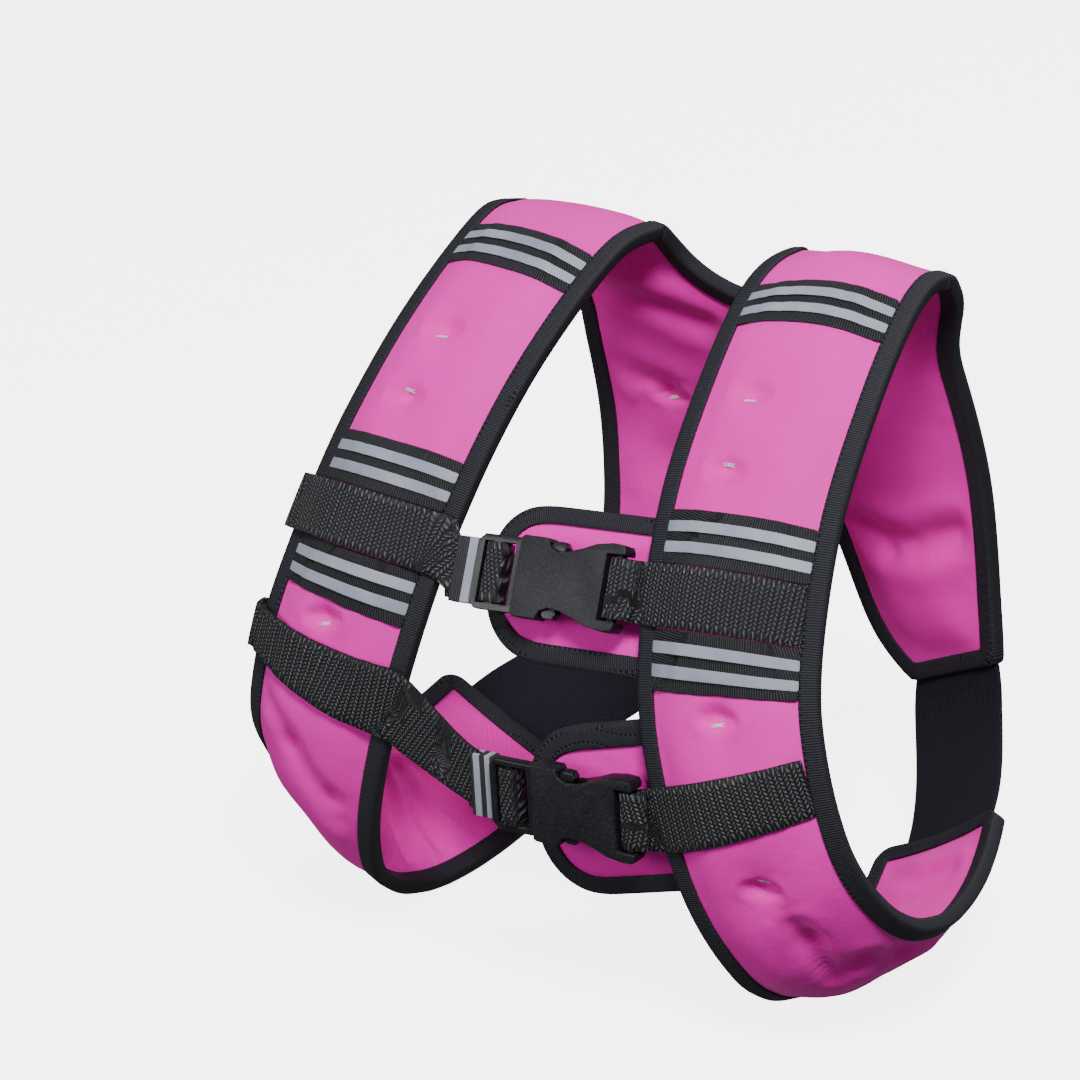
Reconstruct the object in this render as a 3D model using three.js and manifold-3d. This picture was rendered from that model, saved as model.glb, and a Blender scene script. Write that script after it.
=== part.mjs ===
// Weighted exercise vest, worn on an unseen torso. Millimetres, +Z up.
// +X is the wearer's left, -Y is in front of the chest.
// The origin lies between the shoulders, level with the underside of the straps.
import * as THREE from 'three';
import Module from 'manifold-3d';
import { mergeVertices } from 'three/addons/utils/BufferGeometryUtils.js';

const wasm = await Module();
wasm.setup();

// Overall sizes of the worn vest
const vestWidth = 415;
const vestDepth = 288;
const vestHeight = 385;

// Padded panels
const bandWidth = 99;
const edgeThickness = 5;
const padThickness = 21;
const backPadThickness = 27;
const padReach = 36;
const bandCrown = 5;
const tipRadius = 9;

// Binding tape folded over every edge
const bindingWidth = 8.5;
const bindingThickness = 1.4;

// Reflective tape with two silver stripes
const tapeWidth = 28;
const tapeThickness = 0.8;
const stripeWidth = 5.6;
const stripeThickness = 0.5;
const stripeSpacing = 10.6;

// Chest webbing and side elastic
const webbingWidth = 32;
const webbingThickness = 1.9;
const webbingBend = 1;
const hookReach = 9;
const hookTail = 26;
const strapSlack = 1.6;
const strapSkew = 0.13;
const elasticWidth = 72;
const elasticThickness = 2.2;
const elasticPull = 0.36;

// Side release buckles
const buckleWidth = 46;
const buckleLength = 64;
const buckleThickness = 11;
const buckleWall = 2.1;
const buckleLift = 8;
const buckleGap = 11;
const frameLength = 28;
const frameRim = 4.2;
const frameThickness = 6;
const barWidth = 5;
const loopTail = 6;
const keeperLength = 15;
const keeperThickness = 1.2;
const keeperGap = 1;

// Pads behind the buckles
const padHeight = 80;
const padCornerRadius = 30;
const padLoft = 9;
const padTuck = 9;

// Net pocket on the back
const netThickness = 1.2;
const netBulge = 8;
const netRows = 6;
const netColumns = 8;
const netBarShare = 0.24;
const netLift = 1;
const netInset = 0.03;
const hemRow = 7;
const hemAbove = 0.1;
const hemBelow = 0.48;
const hemThickness = 1.6;

// Room left between neighbouring pieces
const clearance = 0.4;

const colour = {
  neoprene: [0xd9479f, 0.85, 0],
  binding: [0x14151b, 0.8, 0],
  grosgrain: [0x1b1c22, 0.8, 0],
  silver: [0x9ba0af, 0.45, 0.2],
  webbing: [0x17181d, 0.75, 0],
  elastic: [0x12131a, 0.9, 0],
  plastic: [0x1d1f26, 0.4, 0],
  net: [0x15161b, 0.8, 0],
};

const half = { out: vestWidth / 2, back: vestDepth, up: vestHeight };
const halfBand = bandWidth / 2;
const margin = bindingWidth + 2 * clearance;

// Middle line of a front band from the shoulder seam to its tip behind the waist.
// out, back and up are shares of half the width, the depth and the height;
// sweep and lean turn the line across the band, in degrees.
const bandStations = [
  { name: 'seam', out: 0.441, back: 0.066, up: 0.006, sweep: 0, lean: 0 },
  { name: 'crest', out: 0.449, back: 0.012, up: 0.021, sweep: 2.5, lean: 2.6 },
  { name: 'brow', out: 0.450, back: -0.050, up: 0.015, sweep: 5.4, lean: 1.2 },
  { name: 'topTape', out: 0.453, back: -0.095, up: 0.002, sweep: 5.4, lean: 1.5 },
  { name: 'collar', out: 0.467, back: -0.186, up: -0.036, sweep: 5.2, lean: 1.2 },
  { name: 'upperTack', out: 0.489, back: -0.307, up: -0.098, sweep: 5.8, lean: 1.2 },
  { name: 'lowerTack', out: 0.508, back: -0.421, up: -0.171, sweep: 5.5, lean: 1.0 },
  { name: 'upperTape', out: 0.520, back: -0.472, up: -0.211, sweep: 5.0, lean: 1.2 },
  { name: 'chest', out: 0.550, back: -0.562, up: -0.306, sweep: 5.0, lean: 1.6 },
  { name: 'lowerTapeEnd', out: 0.580, back: -0.629, up: -0.397, sweep: 6.0, lean: 5.0 },
  { name: 'bellyTack', out: 0.602, back: -0.650, up: -0.446, sweep: 8.0, lean: 12 },
  { name: 'lowerStrap', out: 0.629, back: -0.664, up: -0.498, sweep: 9.0, lean: 20 },
  { name: 'belly', out: 0.676, back: -0.674, up: -0.590, sweep: 9.0, lean: 24 },
  { name: 'hipTack', out: 0.725, back: -0.660, up: -0.680, sweep: 9.0, lean: 27 },
  { name: 'turn', out: 0.770, back: -0.600, up: -0.765, sweep: 12, lean: 31 },
  { name: 'low', out: 0.783, back: -0.515, up: -0.820, sweep: 12, lean: 33 },
  { name: 'under', out: 0.776, back: -0.365, up: -0.856, sweep: 9.0, lean: 34 },
  { name: 'rise', out: 0.735, back: -0.180, up: -0.842, sweep: 1.5, lean: 34 },
  { name: 'tip', out: 0.690, back: -0.045, up: -0.806, sweep: -9.0, lean: 33 },
];

// Middle line of the back sheet from the shoulder seam down, and how far its sides
// stand in front of it at the armholes.
const backProfile = [
  { back: 0.066, up: 0.006, wrap: 0 },
  { back: 0.115, up: -0.032, wrap: 0 },
  { back: 0.144, up: -0.071, wrap: 0.002 },
  { back: 0.170, up: -0.112, wrap: 0.010 },
  { back: 0.208, up: -0.161, wrap: 0.022 },
  { back: 0.250, up: -0.229, wrap: 0.037 },
  { back: 0.285, up: -0.299, wrap: 0.044 },
  { back: 0.306, up: -0.369, wrap: 0.046 },
  { back: 0.316, up: -0.436, wrap: 0.050 },
  { back: 0.319, up: -0.519, wrap: 0.053 },
  { back: 0.316, up: -0.610, wrap: 0.060 },
  { back: 0.306, up: -0.714, wrap: 0.064 },
];

// Stitch line of the left half of the back, flat: out as a share of half the width,
// down as a share of the sheet's length. in follows the neck, the middle and the arch,
// arm follows the armhole and the side.
const backRows = [
  { inOut: 0.252, inDown: 0.072, armOut: 0.615, armDown: 0.075 },
  { inOut: 0.217, inDown: 0.133, armOut: 0.582, armDown: 0.135 },
  { inOut: 0.150, inDown: 0.176, armOut: 0.558, armDown: 0.190 },
  { inOut: 0.078, inDown: 0.201, armOut: 0.545, armDown: 0.238 },
  { inOut: 0, inDown: 0.209, armOut: 0.546, armDown: 0.286 },
  { inOut: 0, inDown: 0.290, armOut: 0.554, armDown: 0.345 },
  { inOut: 0, inDown: 0.380, armOut: 0.559, armDown: 0.415 },
  { inOut: 0, inDown: 0.465, armOut: 0.564, armDown: 0.490 },
  { inOut: 0, inDown: 0.545, armOut: 0.569, armDown: 0.565 },
  { inOut: 0, inDown: 0.617, armOut: 0.573, armDown: 0.640 },
  { inOut: 0.056, inDown: 0.630, armOut: 0.576, armDown: 0.688 },
  { inOut: 0.104, inDown: 0.664, armOut: 0.579, armDown: 0.730 },
  { inOut: 0.152, inDown: 0.726, armOut: 0.583, armDown: 0.772 },
  { inOut: 0.214, inDown: 0.838, armOut: 0.590, armDown: 0.818 },
  { inOut: 0.272, inDown: 0.912, armOut: 0.595, armDown: 0.848 },
  { inOut: 0.362, inDown: 0.955, armOut: 0.598, armDown: 0.875 },
];
const neckRow = 5;
const archRow = 10;
const backShares = [0, 0.22, 0.45, 0.68, 0.86, 1];

// Pulled-in places of a front band: at a named station plus a share of the band's width,
// across as a share of half the band, depth and reach as shares of the padding.
const bandDents = [
  { at: 'upperTack', along: 0, across: 0, depth: 0.24, reach: 0.6 },
  { at: 'lowerTack', along: 0, across: 0, depth: 0.26, reach: 0.6 },
  { at: 'bellyTack', along: 0.04, across: -0.05, depth: 0.26, reach: 0.65 },
  { at: 'hipTack', along: -0.1, across: 0.05, depth: 0.34, reach: 0.75 },
  { at: 'turn', along: 0.1, across: 0.1, depth: 0.36, reach: 0.8 },
  { at: 'low', along: 0.25, across: 0.1, depth: 0.34, reach: 0.8 },
];
// Folds across the inner face where the band turns under the waist
const bandFolds = [
  { at: 'turn', along: 0.05, depth: 0.20, reach: 0.35 },
  { at: 'low', along: 0, depth: 0.26, reach: 0.38 },
  { at: 'under', along: -0.1, depth: 0.26, reach: 0.4 },
  { at: 'under', along: 0.42, depth: 0.22, reach: 0.4 },
];
// Pulled-in places of the back: out and down on the flat sheet, and creases that run
// across its inner face between two places out from the middle
const backDents = [
  { out: 0.16, down: 0.44, depth: 0.26, reach: 0.55 },
  { out: 0.34, down: 0.60, depth: 0.30, reach: 0.65 },
  { out: 0.52, down: 0.59, depth: 0.16, reach: 0.40 },
];
const backCreases = [
  { from: 0.30, to: 0.60, down: 0.585, depth: 0.17, reach: 0.22 },
  { from: -0.1, to: 0.30, down: 0.330, depth: 0.15, reach: 0.30 },
];

// Closed piece from triangles of points, turned so that its faces point out
function closedPiece(triangles) {
  const positions = [];
  for (const corner of triangles) positions.push(corner.x, corner.y, corner.z);
  let geometry = new THREE.BufferGeometry();
  geometry.setAttribute('position', new THREE.Float32BufferAttribute(positions, 3));
  geometry = mergeVertices(geometry, 1e-4);
  const at = geometry.attributes.position;
  const index = Array.from(geometry.index.array);
  const kept = [];
  let volume = 0;
  const a = new THREE.Vector3();
  const b = new THREE.Vector3();
  const c = new THREE.Vector3();
  for (let i = 0; i < index.length; i += 3) {
    const [p, q, r] = [index[i], index[i + 1], index[i + 2]];
    if (p === q || q === r || r === p) continue;
    a.fromBufferAttribute(at, p);
    b.fromBufferAttribute(at, q);
    c.fromBufferAttribute(at, r);
    volume += a.dot(b.cross(c));
    kept.push(p, q, r);
  }
  if (volume < 0) kept.reverse();
  geometry.setIndex(kept);
  geometry.computeVertexNormals();
  return geometry;
}

// Triangles of a slab between two grids of points. filled says which cells are there,
// sewn says which walls beside the first column are left out because a twin meets them.
function slab(outer, inner, filled = () => true, sewn = () => false) {
  const triangles = [];
  const rows = outer.length - 1;
  const columns = outer[0].length - 1;
  const there = (i, j) => i >= 0 && j >= 0 && i < rows && j < columns && filled(i, j);
  const quad = (a, b, c, d) => triangles.push(a, b, c, a, c, d);
  for (let i = 0; i < rows; i += 1) {
    for (let j = 0; j < columns; j += 1) {
      if (!there(i, j)) continue;
      quad(outer[i][j], outer[i + 1][j], outer[i + 1][j + 1], outer[i][j + 1]);
      quad(inner[i][j], inner[i][j + 1], inner[i + 1][j + 1], inner[i + 1][j]);
      const wall = (p, q, r, s) => quad(outer[p][q], outer[r][s], inner[r][s], inner[p][q]);
      if (!there(i - 1, j)) wall(i, j, i, j + 1);
      if (!there(i, j + 1)) wall(i, j + 1, i + 1, j + 1);
      if (!there(i + 1, j)) wall(i + 1, j + 1, i + 1, j);
      if (!there(i, j - 1) && !(j === 0 && sewn(i))) wall(i + 1, j, i, j);
    }
  }
  return triangles;
}

// Triangles of a body swept through rings of points, with its first and its last ring
// closed over the flat section or left open
function sweep(rings, section, startShut, endShut) {
  const triangles = [];
  const count = section.length;
  for (let i = 1; i < rings.length; i += 1) {
    const [ring, next] = [rings[i - 1], rings[i]];
    for (let k = 0; k < count; k += 1) {
      const m = (k + 1) % count;
      triangles.push(ring[k], next[k], next[m], ring[k], next[m], ring[m]);
    }
  }
  const flat = section.map(([x, y]) => new THREE.Vector2(x, y));
  const turned = THREE.ShapeUtils.isClockWise(flat);
  for (const [p, q, r] of THREE.ShapeUtils.triangulateShape(flat, [])) {
    const [first, second] = turned ? [q, r] : [r, q];
    if (startShut) triangles.push(rings[0][p], rings[0][second], rings[0][first]);
    if (endShut) triangles.push(rings.at(-1)[p], rings.at(-1)[first], rings.at(-1)[second]);
  }
  return triangles;
}

const mirrored = (triangles) => {
  const twin = [];
  for (let i = 0; i < triangles.length; i += 3) {
    for (const corner of [triangles[i], triangles[i + 2], triangles[i + 1]]) {
      twin.push(new THREE.Vector3(-corner.x, corner.y, corner.z));
    }
  }
  return twin;
};

// Smooth value of one column of a table at a place between its rows
function between(rows, places, column, place) {
  let k = 0;
  while (k < rows.length - 2 && place > places[k + 1]) k += 1;
  const value = (i) => rows[i][column];
  const rise = (i) => (value(i + 1) - value(i)) / (places[i + 1] - places[i]);
  const slope = (i) => {
    if (i === 0) return rise(0);
    if (i === rows.length - 1) return rise(i - 1);
    const before = places[i] - places[i - 1];
    const after = places[i + 1] - places[i];
    return (rise(i - 1) * after + rise(i) * before) / (before + after);
  };
  const span = places[k + 1] - places[k];
  const t = (place - places[k]) / span;
  if (t < 0) return value(k) + slope(k) * t * span;
  if (t > 1) return value(k + 1) + slope(k + 1) * (t - 1) * span;
  const t2 = t * t;
  const t3 = t2 * t;
  return value(k) * (2 * t3 - 3 * t2 + 1) + slope(k) * span * (t3 - 2 * t2 + t)
    + value(k + 1) * (3 * t2 - 2 * t3) + slope(k + 1) * span * (t3 - t2);
}

// Front band as a curved ribbon: along from the shoulder seam, across from its middle
const bandRows = bandStations.map((row) => ({
  name: row.name,
  x: row.out * half.out,
  y: row.back * half.back,
  z: row.up * half.up,
  sweep: THREE.MathUtils.degToRad(row.sweep),
  lean: THREE.MathUtils.degToRad(row.lean),
}));
const bandPlaces = [0];
for (let i = 1; i < bandRows.length; i += 1) {
  const [p, q] = [bandRows[i - 1], bandRows[i]];
  bandPlaces.push(bandPlaces[i - 1] + Math.hypot(q.x - p.x, q.y - p.y, q.z - p.z));
}
const bandLength = bandPlaces.at(-1);
const bandPlace = (name) => bandPlaces[bandRows.findIndex((row) => row.name === name)];

function bandMiddle(along) {
  const value = (column) => between(bandRows, bandPlaces, column, along);
  return new THREE.Vector3(value('x'), value('y'), value('z'));
}

function bandFrame(along) {
  const sweepAngle = between(bandRows, bandPlaces, 'sweep', along);
  const lean = between(bandRows, bandPlaces, 'lean', along);
  const across = new THREE.Vector3(
    Math.cos(lean) * Math.cos(sweepAngle), Math.cos(lean) * Math.sin(sweepAngle), Math.sin(lean));
  const forward = bandMiddle(along + 1).sub(bandMiddle(along - 1)).normalize();
  const out = forward.clone().cross(across).normalize();
  return { middle: bandMiddle(along), across, out };
}

// Point on a front band, raised from its middle layer
function onBand(along, across, raised) {
  const frame = bandFrame(along);
  const share = across / halfBand;
  const out = frame.out.clone().addScaledVector(frame.across, 2 * bandCrown * share / halfBand);
  return frame.middle
    .addScaledVector(frame.across, across)
    .addScaledVector(frame.out, bandCrown * (1 - share * share))
    .addScaledVector(out.normalize(), raised);
}

// Half the width of a band, rounded in at the corners of its tip
function bandReach(along) {
  const past = along - (bandLength - tipRadius);
  if (past <= 0) return halfBand;
  return halfBand - tipRadius + Math.sqrt(Math.max(0, tipRadius ** 2 - past ** 2));
}

// Share of full padding at a distance from the nearest edge
function padShare(distance, reach) {
  const x = Math.min(1, Math.max(0, (distance - margin) / (reach - margin)));
  return 1 - (1 - x) ** 2;
}

const bump = (distance, reach) => Math.exp(-((distance / reach) ** 2));

function bandPadding(along, across) {
  const side = bandReach(along) - Math.abs(across);
  const end = Math.min(bandLength - along, along);
  return padShare(Math.min(side, end), Math.min(padReach, halfBand));
}

function bandOuter(along, across) {
  const share = bandPadding(along, across);
  let height = edgeThickness / 2 + share * (padThickness - edgeThickness) / 2;
  for (const dent of bandDents) {
    const place = bandPlace(dent.at) + dent.along * bandWidth;
    const far = Math.hypot(along - place, across - dent.across * halfBand);
    height -= share * dent.depth * padThickness * bump(far, dent.reach * padThickness);
  }
  return height;
}

function bandInner(along, across) {
  const share = bandPadding(along, across);
  let height = edgeThickness / 2 + share * (padThickness - edgeThickness) / 2;
  for (const fold of bandFolds) {
    const far = along - bandPlace(fold.at) - fold.along * bandWidth;
    height -= share * fold.depth * padThickness * bump(far, fold.reach * padThickness);
  }
  return height;
}

// Places along a band where rows of its solids stand: tape and strap edges among them
const tapePlaces = {
  top: bandPlace('topTape'),
  upper: bandPlace('upperTape'),
  lower: bandPlace('upperTape') + tapeWidth + webbingWidth + 2 * clearance,
};
const strapPlaces = {
  upper: bandPlace('upperTape') + tapeWidth + clearance,
  lower: bandPlace('lowerStrap'),
};
const fixedPlaces = [0, bandLength - tipRadius];
for (const place of Object.values(tapePlaces)) fixedPlaces.push(place, place + tapeWidth);
for (const place of Object.values(strapPlaces)) fixedPlaces.push(place, place + webbingWidth);
for (const dent of bandDents) fixedPlaces.push(bandPlace(dent.at) + dent.along * bandWidth);
for (const fold of bandFolds) {
  const place = bandPlace(fold.at) + fold.along * bandWidth;
  const beside = fold.reach * padThickness;
  fixedPlaces.push(place - beside, place, place + beside);
}
fixedPlaces.sort((a, b) => a - b);

// Rows no further apart than a step, with the fixed places among them
function rowsBetween(places, step) {
  const rows = [places[0]];
  for (let i = 1; i < places.length; i += 1) {
    const span = places[i] - places[i - 1];
    const count = Math.max(1, Math.round(span / step));
    if (span < 1) continue;
    for (let k = 1; k <= count; k += 1) rows.push(places[i - 1] + span * k / count);
  }
  return rows;
}
const bandStep = 20;
const tipSteps = 3;
const elasticSteps = 9;
const padRows = 8;
const padShares = [0, 0.25, 0.5, 0.75, 1];
const straightRows = rowsBetween(fixedPlaces, bandStep);
const tipRows = [];
for (let k = 1; k <= tipSteps; k += 1) {
  tipRows.push(bandLength - tipRadius + tipRadius * Math.sin(Math.PI / 2 * k / tipSteps));
}
const acrossShares = [-1, -0.72, -0.4, 0, 0.4, 0.72, 1];

function bandColumns(along) {
  const reach = bandReach(along);
  const inside = acrossShares.map((share) => share * (reach - margin));
  return [-reach, ...inside, reach];
}

function frontPanel() {
  const rows = [...straightRows, ...tipRows];
  const outer = [];
  const inner = [];
  for (const along of rows) {
    const columns = bandColumns(along);
    outer.push(columns.map((across) => onBand(along, across, bandOuter(along, across))));
    inner.push(columns.map((across) => onBand(along, across, -bandInner(along, across))));
  }
  return slab(outer, inner);
}

// Section of a binding: distance in from the edge, and height from the middle layer
function bindingSection(room = clearance) {
  const inside = edgeThickness / 2 + room;
  const outside = inside + bindingThickness;
  const over = -clearance - bindingThickness;
  return [
    [bindingWidth, inside], [-clearance, inside], [-clearance, -inside], [bindingWidth, -inside],
    [bindingWidth, -outside], [over, -outside], [over, outside], [bindingWidth, outside],
  ];
}

// Binding from the shoulder down the neck side, round the tip and up the arm side
function frontBinding() {
  const path = [];
  for (const along of straightRows) path.push([along, -bandReach(along), 0, -1]);
  const turns = 2 * tipSteps;
  const corner = (middle, start) => {
    for (let k = 0; k <= turns; k += 1) {
      const angle = start + Math.PI / 2 * k / turns;
      const [forward, side] = [Math.sin(angle), -Math.cos(angle)];
      path.push([bandLength - tipRadius + tipRadius * forward, middle + tipRadius * side, forward, side]);
    }
  };
  path.pop();
  corner(-(halfBand - tipRadius), 0);
  for (const across of bandColumns(bandLength).slice(1, -1)) path.push([bandLength, across, 1, 0]);
  corner(halfBand - tipRadius, Math.PI / 2);
  path.pop();
  for (const along of [...straightRows].reverse()) path.push([along, bandReach(along), 0, 1]);
  const section = bindingSection();
  const rings = path.map(([along, across, forward, side]) => section.map(([inward, raised]) => (
    onBand(along - forward * inward, across - side * inward, raised))));
  return sweep(rings, section, true, true);
}

const rowsInside = (start, end) => (
  straightRows.filter((along) => along > start + clearance && along < end - clearance));

// Strip laid on the outer face of a band
function bandStrip(start, end, from, to, thickness, lift) {
  const columns = bandColumns(start).filter((across) => across > from + 1 && across < to - 1);
  const places = [from, ...columns, to];
  const rows = [start, ...rowsInside(start, end), end];
  const height = (along, across) => bandOuter(along, across) + lift;
  const grid = (extra) => rows.map((along) => (
    places.map((across) => onBand(along, across, height(along, across) + extra))));
  return slab(grid(thickness), grid(0));
}

const tapeReach = halfBand - bindingWidth - 3 * clearance;
const tape = (place) => bandStrip(
  place, place + tapeWidth, -tapeReach, tapeReach, tapeThickness, clearance);

function stripe(place, offset) {
  const start = place + tapeWidth / 2 + offset - stripeWidth / 2;
  const lift = clearance + tapeThickness + clearance;
  return bandStrip(start, start + stripeWidth, -tapeReach, tapeReach, stripeThickness, lift);
}

// Middle line and edges of the back sheet as a bent pattern
const profileRows = backProfile.map((row) => ({
  y: row.back * vestDepth,
  z: row.up * vestHeight,
  wrap: row.wrap * vestDepth,
}));
const profilePlaces = [0];
for (let i = 1; i < profileRows.length; i += 1) {
  const [p, q] = [profileRows[i - 1], profileRows[i]];
  profilePlaces.push(profilePlaces[i - 1] + Math.hypot(q.y - p.y, q.z - p.z));
}
const sheetLength = profilePlaces.at(-1);
const sideReach = 0.6 * half.out;
const crownFade = 0.12 * sheetLength;

// Point on the back sheet: out from the middle, down from the shoulder, raised to the rear.
// At the shoulder it takes the slope and the crown of the front band that it meets.
const seamOut = bandFrame(0).out;
function onBack(out, down, raised) {
  const share = (x) => Math.min(1, Math.max(-1, (x - bandRows[0].x) / halfBand));
  const surface = (x, place) => {
    const value = (column) => between(profileRows, profilePlaces, column, place);
    const crown = bandCrown * bump(Math.max(0, place), crownFade) * (1 - share(x) ** 2);
    const y = value('y') - value('wrap') * (x / sideReach) ** 2;
    return new THREE.Vector3(x, y, value('z')).addScaledVector(seamOut, crown);
  };
  const point = surface(out, down);
  const across = surface(out + 1, down).sub(surface(out - 1, down));
  const forward = surface(out, down + 1).sub(surface(out, down - 1));
  const rear = across.cross(forward).normalize();
  if (rear.y < 0) rear.negate();
  const atSeam = seamOut.clone();
  atSeam.x += 2 * bandCrown * share(out) / halfBand;
  rear.lerp(atSeam.normalize(), bump(down, padReach / 2)).normalize();
  if (out === 0) rear.setX(0).normalize();
  return point.addScaledVector(rear, raised);
}

// Grid of pattern points between the two ends of each row
function patternGrid(rows, shares) {
  return rows.map(({ from, to }) => shares.map((share) => [
    from[0] + (to[0] - from[0]) * share,
    from[1] + (to[1] - from[1]) * share,
  ]));
}

// Outward mitre at each point of a line that keeps the sheet on its left, down being down
function mitres(line, closed) {
  const count = line.length;
  const side = (p, q) => {
    const [dx, dy] = [q[0] - p[0], q[1] - p[1]];
    const size = Math.hypot(dx, dy);
    return [-dy / size, dx / size];
  };
  return line.map((point, i) => {
    const before = line[(i - 1 + count) % count];
    const after = line[(i + 1) % count];
    if (!closed && (i === 0 || i === count - 1)) {
      return i === 0 ? side(point, after) : side(before, point);
    }
    const [a, b] = [side(before, point), side(point, after)];
    const [mx, my] = [a[0] + b[0], a[1] + b[1]];
    const scale = 2 / (mx * mx + my * my);
    return [mx * scale, my * scale];
  });
}

const outwardFrom = (line, normals, distance) => (
  line.map((point, i) => [point[0] + normals[i][0] * distance, point[1] + normals[i][1] * distance]));

const shoulderRow = {
  from: [bandRows[0].x - halfBand + margin, clearance + margin],
  to: [bandRows[0].x + halfBand - margin, clearance + margin],
};
const rowPoints = (row) => ({
  from: [row.inOut * half.out, row.inDown * sheetLength],
  to: [row.armOut * half.out, row.armDown * sheetLength],
});
const backLines = [shoulderRow, ...backRows.map(rowPoints)];
const backGrid = patternGrid(backLines, backShares);
const lastShare = backShares.length - 1;
const lastRow = backGrid.length - 1;

// Stitch line of the left half: arch, bottom, side and armhole, shoulder, neck
const backStitch = [];
for (let i = archRow; i < lastRow; i += 1) backStitch.push(backGrid[i][0]);
for (let j = 0; j < lastShare; j += 1) backStitch.push(backGrid[lastRow][j]);
for (let i = lastRow; i > 0; i -= 1) backStitch.push(backGrid[i][lastShare]);
for (let j = lastShare; j > 0; j -= 1) backStitch.push(backGrid[0][j]);
for (let i = 0; i <= neckRow; i += 1) backStitch.push(backGrid[i][0]);
const seamStart = lastRow - archRow + lastShare + lastRow;
const seamEnd = seamStart + lastShare;
// The ends lie on the middle line, and the shoulder corners are square to the seam
const backMitres = mitres(backStitch, false);
for (const end of [0, backStitch.length - 1]) {
  backMitres[end] = [0, Math.sign(backMitres[end][1])];
}
backMitres[seamStart] = [1, -1];
backMitres[seamEnd] = [-1, -1];
const backEdge = outwardFrom(backStitch, backMitres, margin);

function distanceTo(line, [x, y]) {
  let best = Infinity;
  for (let i = 1; i < line.length; i += 1) {
    const [px, py] = line[i - 1];
    const [dx, dy] = [line[i][0] - px, line[i][1] - py];
    const share = ((x - px) * dx + (y - py) * dy) / (dx * dx + dy * dy);
    const t = Math.min(1, Math.max(0, share));
    best = Math.min(best, Math.hypot(x - px - dx * t, y - py - dy * t));
  }
  return best;
}

function backPadding([out, down]) {
  const share = padShare(distanceTo(backEdge, [out, down]), padReach);
  const fade = Math.min(1, down / (0.45 * sheetLength));
  const thickness = padThickness + (backPadThickness - padThickness) * fade;
  return { share, thickness };
}

function backRear([out, down]) {
  const { share, thickness } = backPadding([out, down]);
  let height = edgeThickness / 2 + share * (thickness - edgeThickness) / 2;
  for (const dent of backDents) {
    const far = Math.hypot(out - dent.out * half.out, down - dent.down * sheetLength);
    height -= 0.5 * share * dent.depth * thickness * bump(far, dent.reach * thickness);
  }
  return height;
}

function backFace([out, down]) {
  const { share, thickness } = backPadding([out, down]);
  let height = edgeThickness / 2 + share * (thickness - edgeThickness) / 2;
  for (const dent of backDents) {
    const far = Math.hypot(out - dent.out * half.out, down - dent.down * sheetLength);
    height -= share * dent.depth * thickness * bump(far, dent.reach * thickness);
  }
  for (const crease of backCreases) {
    const past = Math.max(0, crease.from * half.out - out, out - crease.to * half.out);
    const far = Math.hypot(past, down - crease.down * sheetLength);
    height -= share * crease.depth * thickness * bump(far, crease.reach * thickness);
  }
  return height;
}

function backPanel() {
  const rear = (point) => onBack(point[0], point[1], backRear(point));
  const face = (point) => onBack(point[0], point[1], -backFace(point));
  const left = sheetSolid(backGrid, backStitch, backEdge, false, rear, face);
  return [...left, ...mirrored(left)];
}

// Body of a sheet: cells inside the stitch line, a rim to the edge, and the edge's wall
function sheetSolid(grid, stitch, edge, closed, rear, face) {
  const triangles = [];
  const quad = (a, b, c, d, place) => triangles.push(
    place(a), place(b), place(c), place(a), place(c), place(d));
  for (let i = 1; i < grid.length; i += 1) {
    for (let j = 1; j < grid[0].length; j += 1) {
      const [a, b, c, d] = [grid[i - 1][j - 1], grid[i][j - 1], grid[i][j], grid[i - 1][j]];
      quad(a, b, c, d, rear);
      quad(a, d, c, b, face);
    }
  }
  const last = closed ? stitch.length : stitch.length - 1;
  for (let i = 0; i < last; i += 1) {
    const k = (i + 1) % stitch.length;
    quad(stitch[i], edge[i], edge[k], stitch[k], rear);
    quad(stitch[i], stitch[k], edge[k], edge[i], face);
    triangles.push(rear(edge[i]), face(edge[i]), face(edge[k]));
    triangles.push(rear(edge[i]), face(edge[k]), rear(edge[k]));
  }
  return triangles;
}

// Binding round the armholes, the sides and the arch, and the one round the neck
function backBinding(points, normals) {
  const section = bindingSection(2 * clearance);
  const rings = points.map(([out, down], i) => section.map(([inward, raised]) => (
    onBack(out - normals[i][0] * inward, down - normals[i][1] * inward, raised))));
  const left = sweep(rings, section, true, false);
  return [...left, ...mirrored(left)];
}

const armBinding = () => backBinding(
  backEdge.slice(0, seamStart + 1).reverse(),
  [[1, 0], ...backMitres.slice(0, seamStart).reverse()]);
const neckBinding = () => backBinding(
  backEdge.slice(seamEnd),
  [[-1, 0], ...backMitres.slice(seamEnd + 1)]);

// Pattern point on the back at a place among its rows and a share of the row
function backPoint(row, share) {
  const i = Math.min(backLines.length - 2, Math.floor(row));
  const t = row - i;
  const end = (key) => [0, 1].map((axis) => (
    backLines[i][key][axis] * (1 - t) + backLines[i + 1][key][axis] * t));
  const [from, to] = [end('from'), end('to')];
  return [from[0] + (to[0] - from[0]) * share, from[1] + (to[1] - from[1]) * share];
}

// Rows and shares of the net's grid: bars with open cells between them
const netPlaces = [];
for (let k = 0; k < netRows; k += 1) {
  const place = hemRow + (lastRow - hemRow) * k / netRows;
  netPlaces.push(place, place + (lastRow - hemRow) * netBarShare / netRows);
}
netPlaces.push(lastRow - netBarShare, lastRow);
const netShares = [0];
for (let k = 0; k < netColumns; k += 1) {
  netShares.push((k + netBarShare) / netColumns, (k + 1) / netColumns);
}
netShares.splice(-1, 0, 1 - netBarShare / netColumns);

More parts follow.
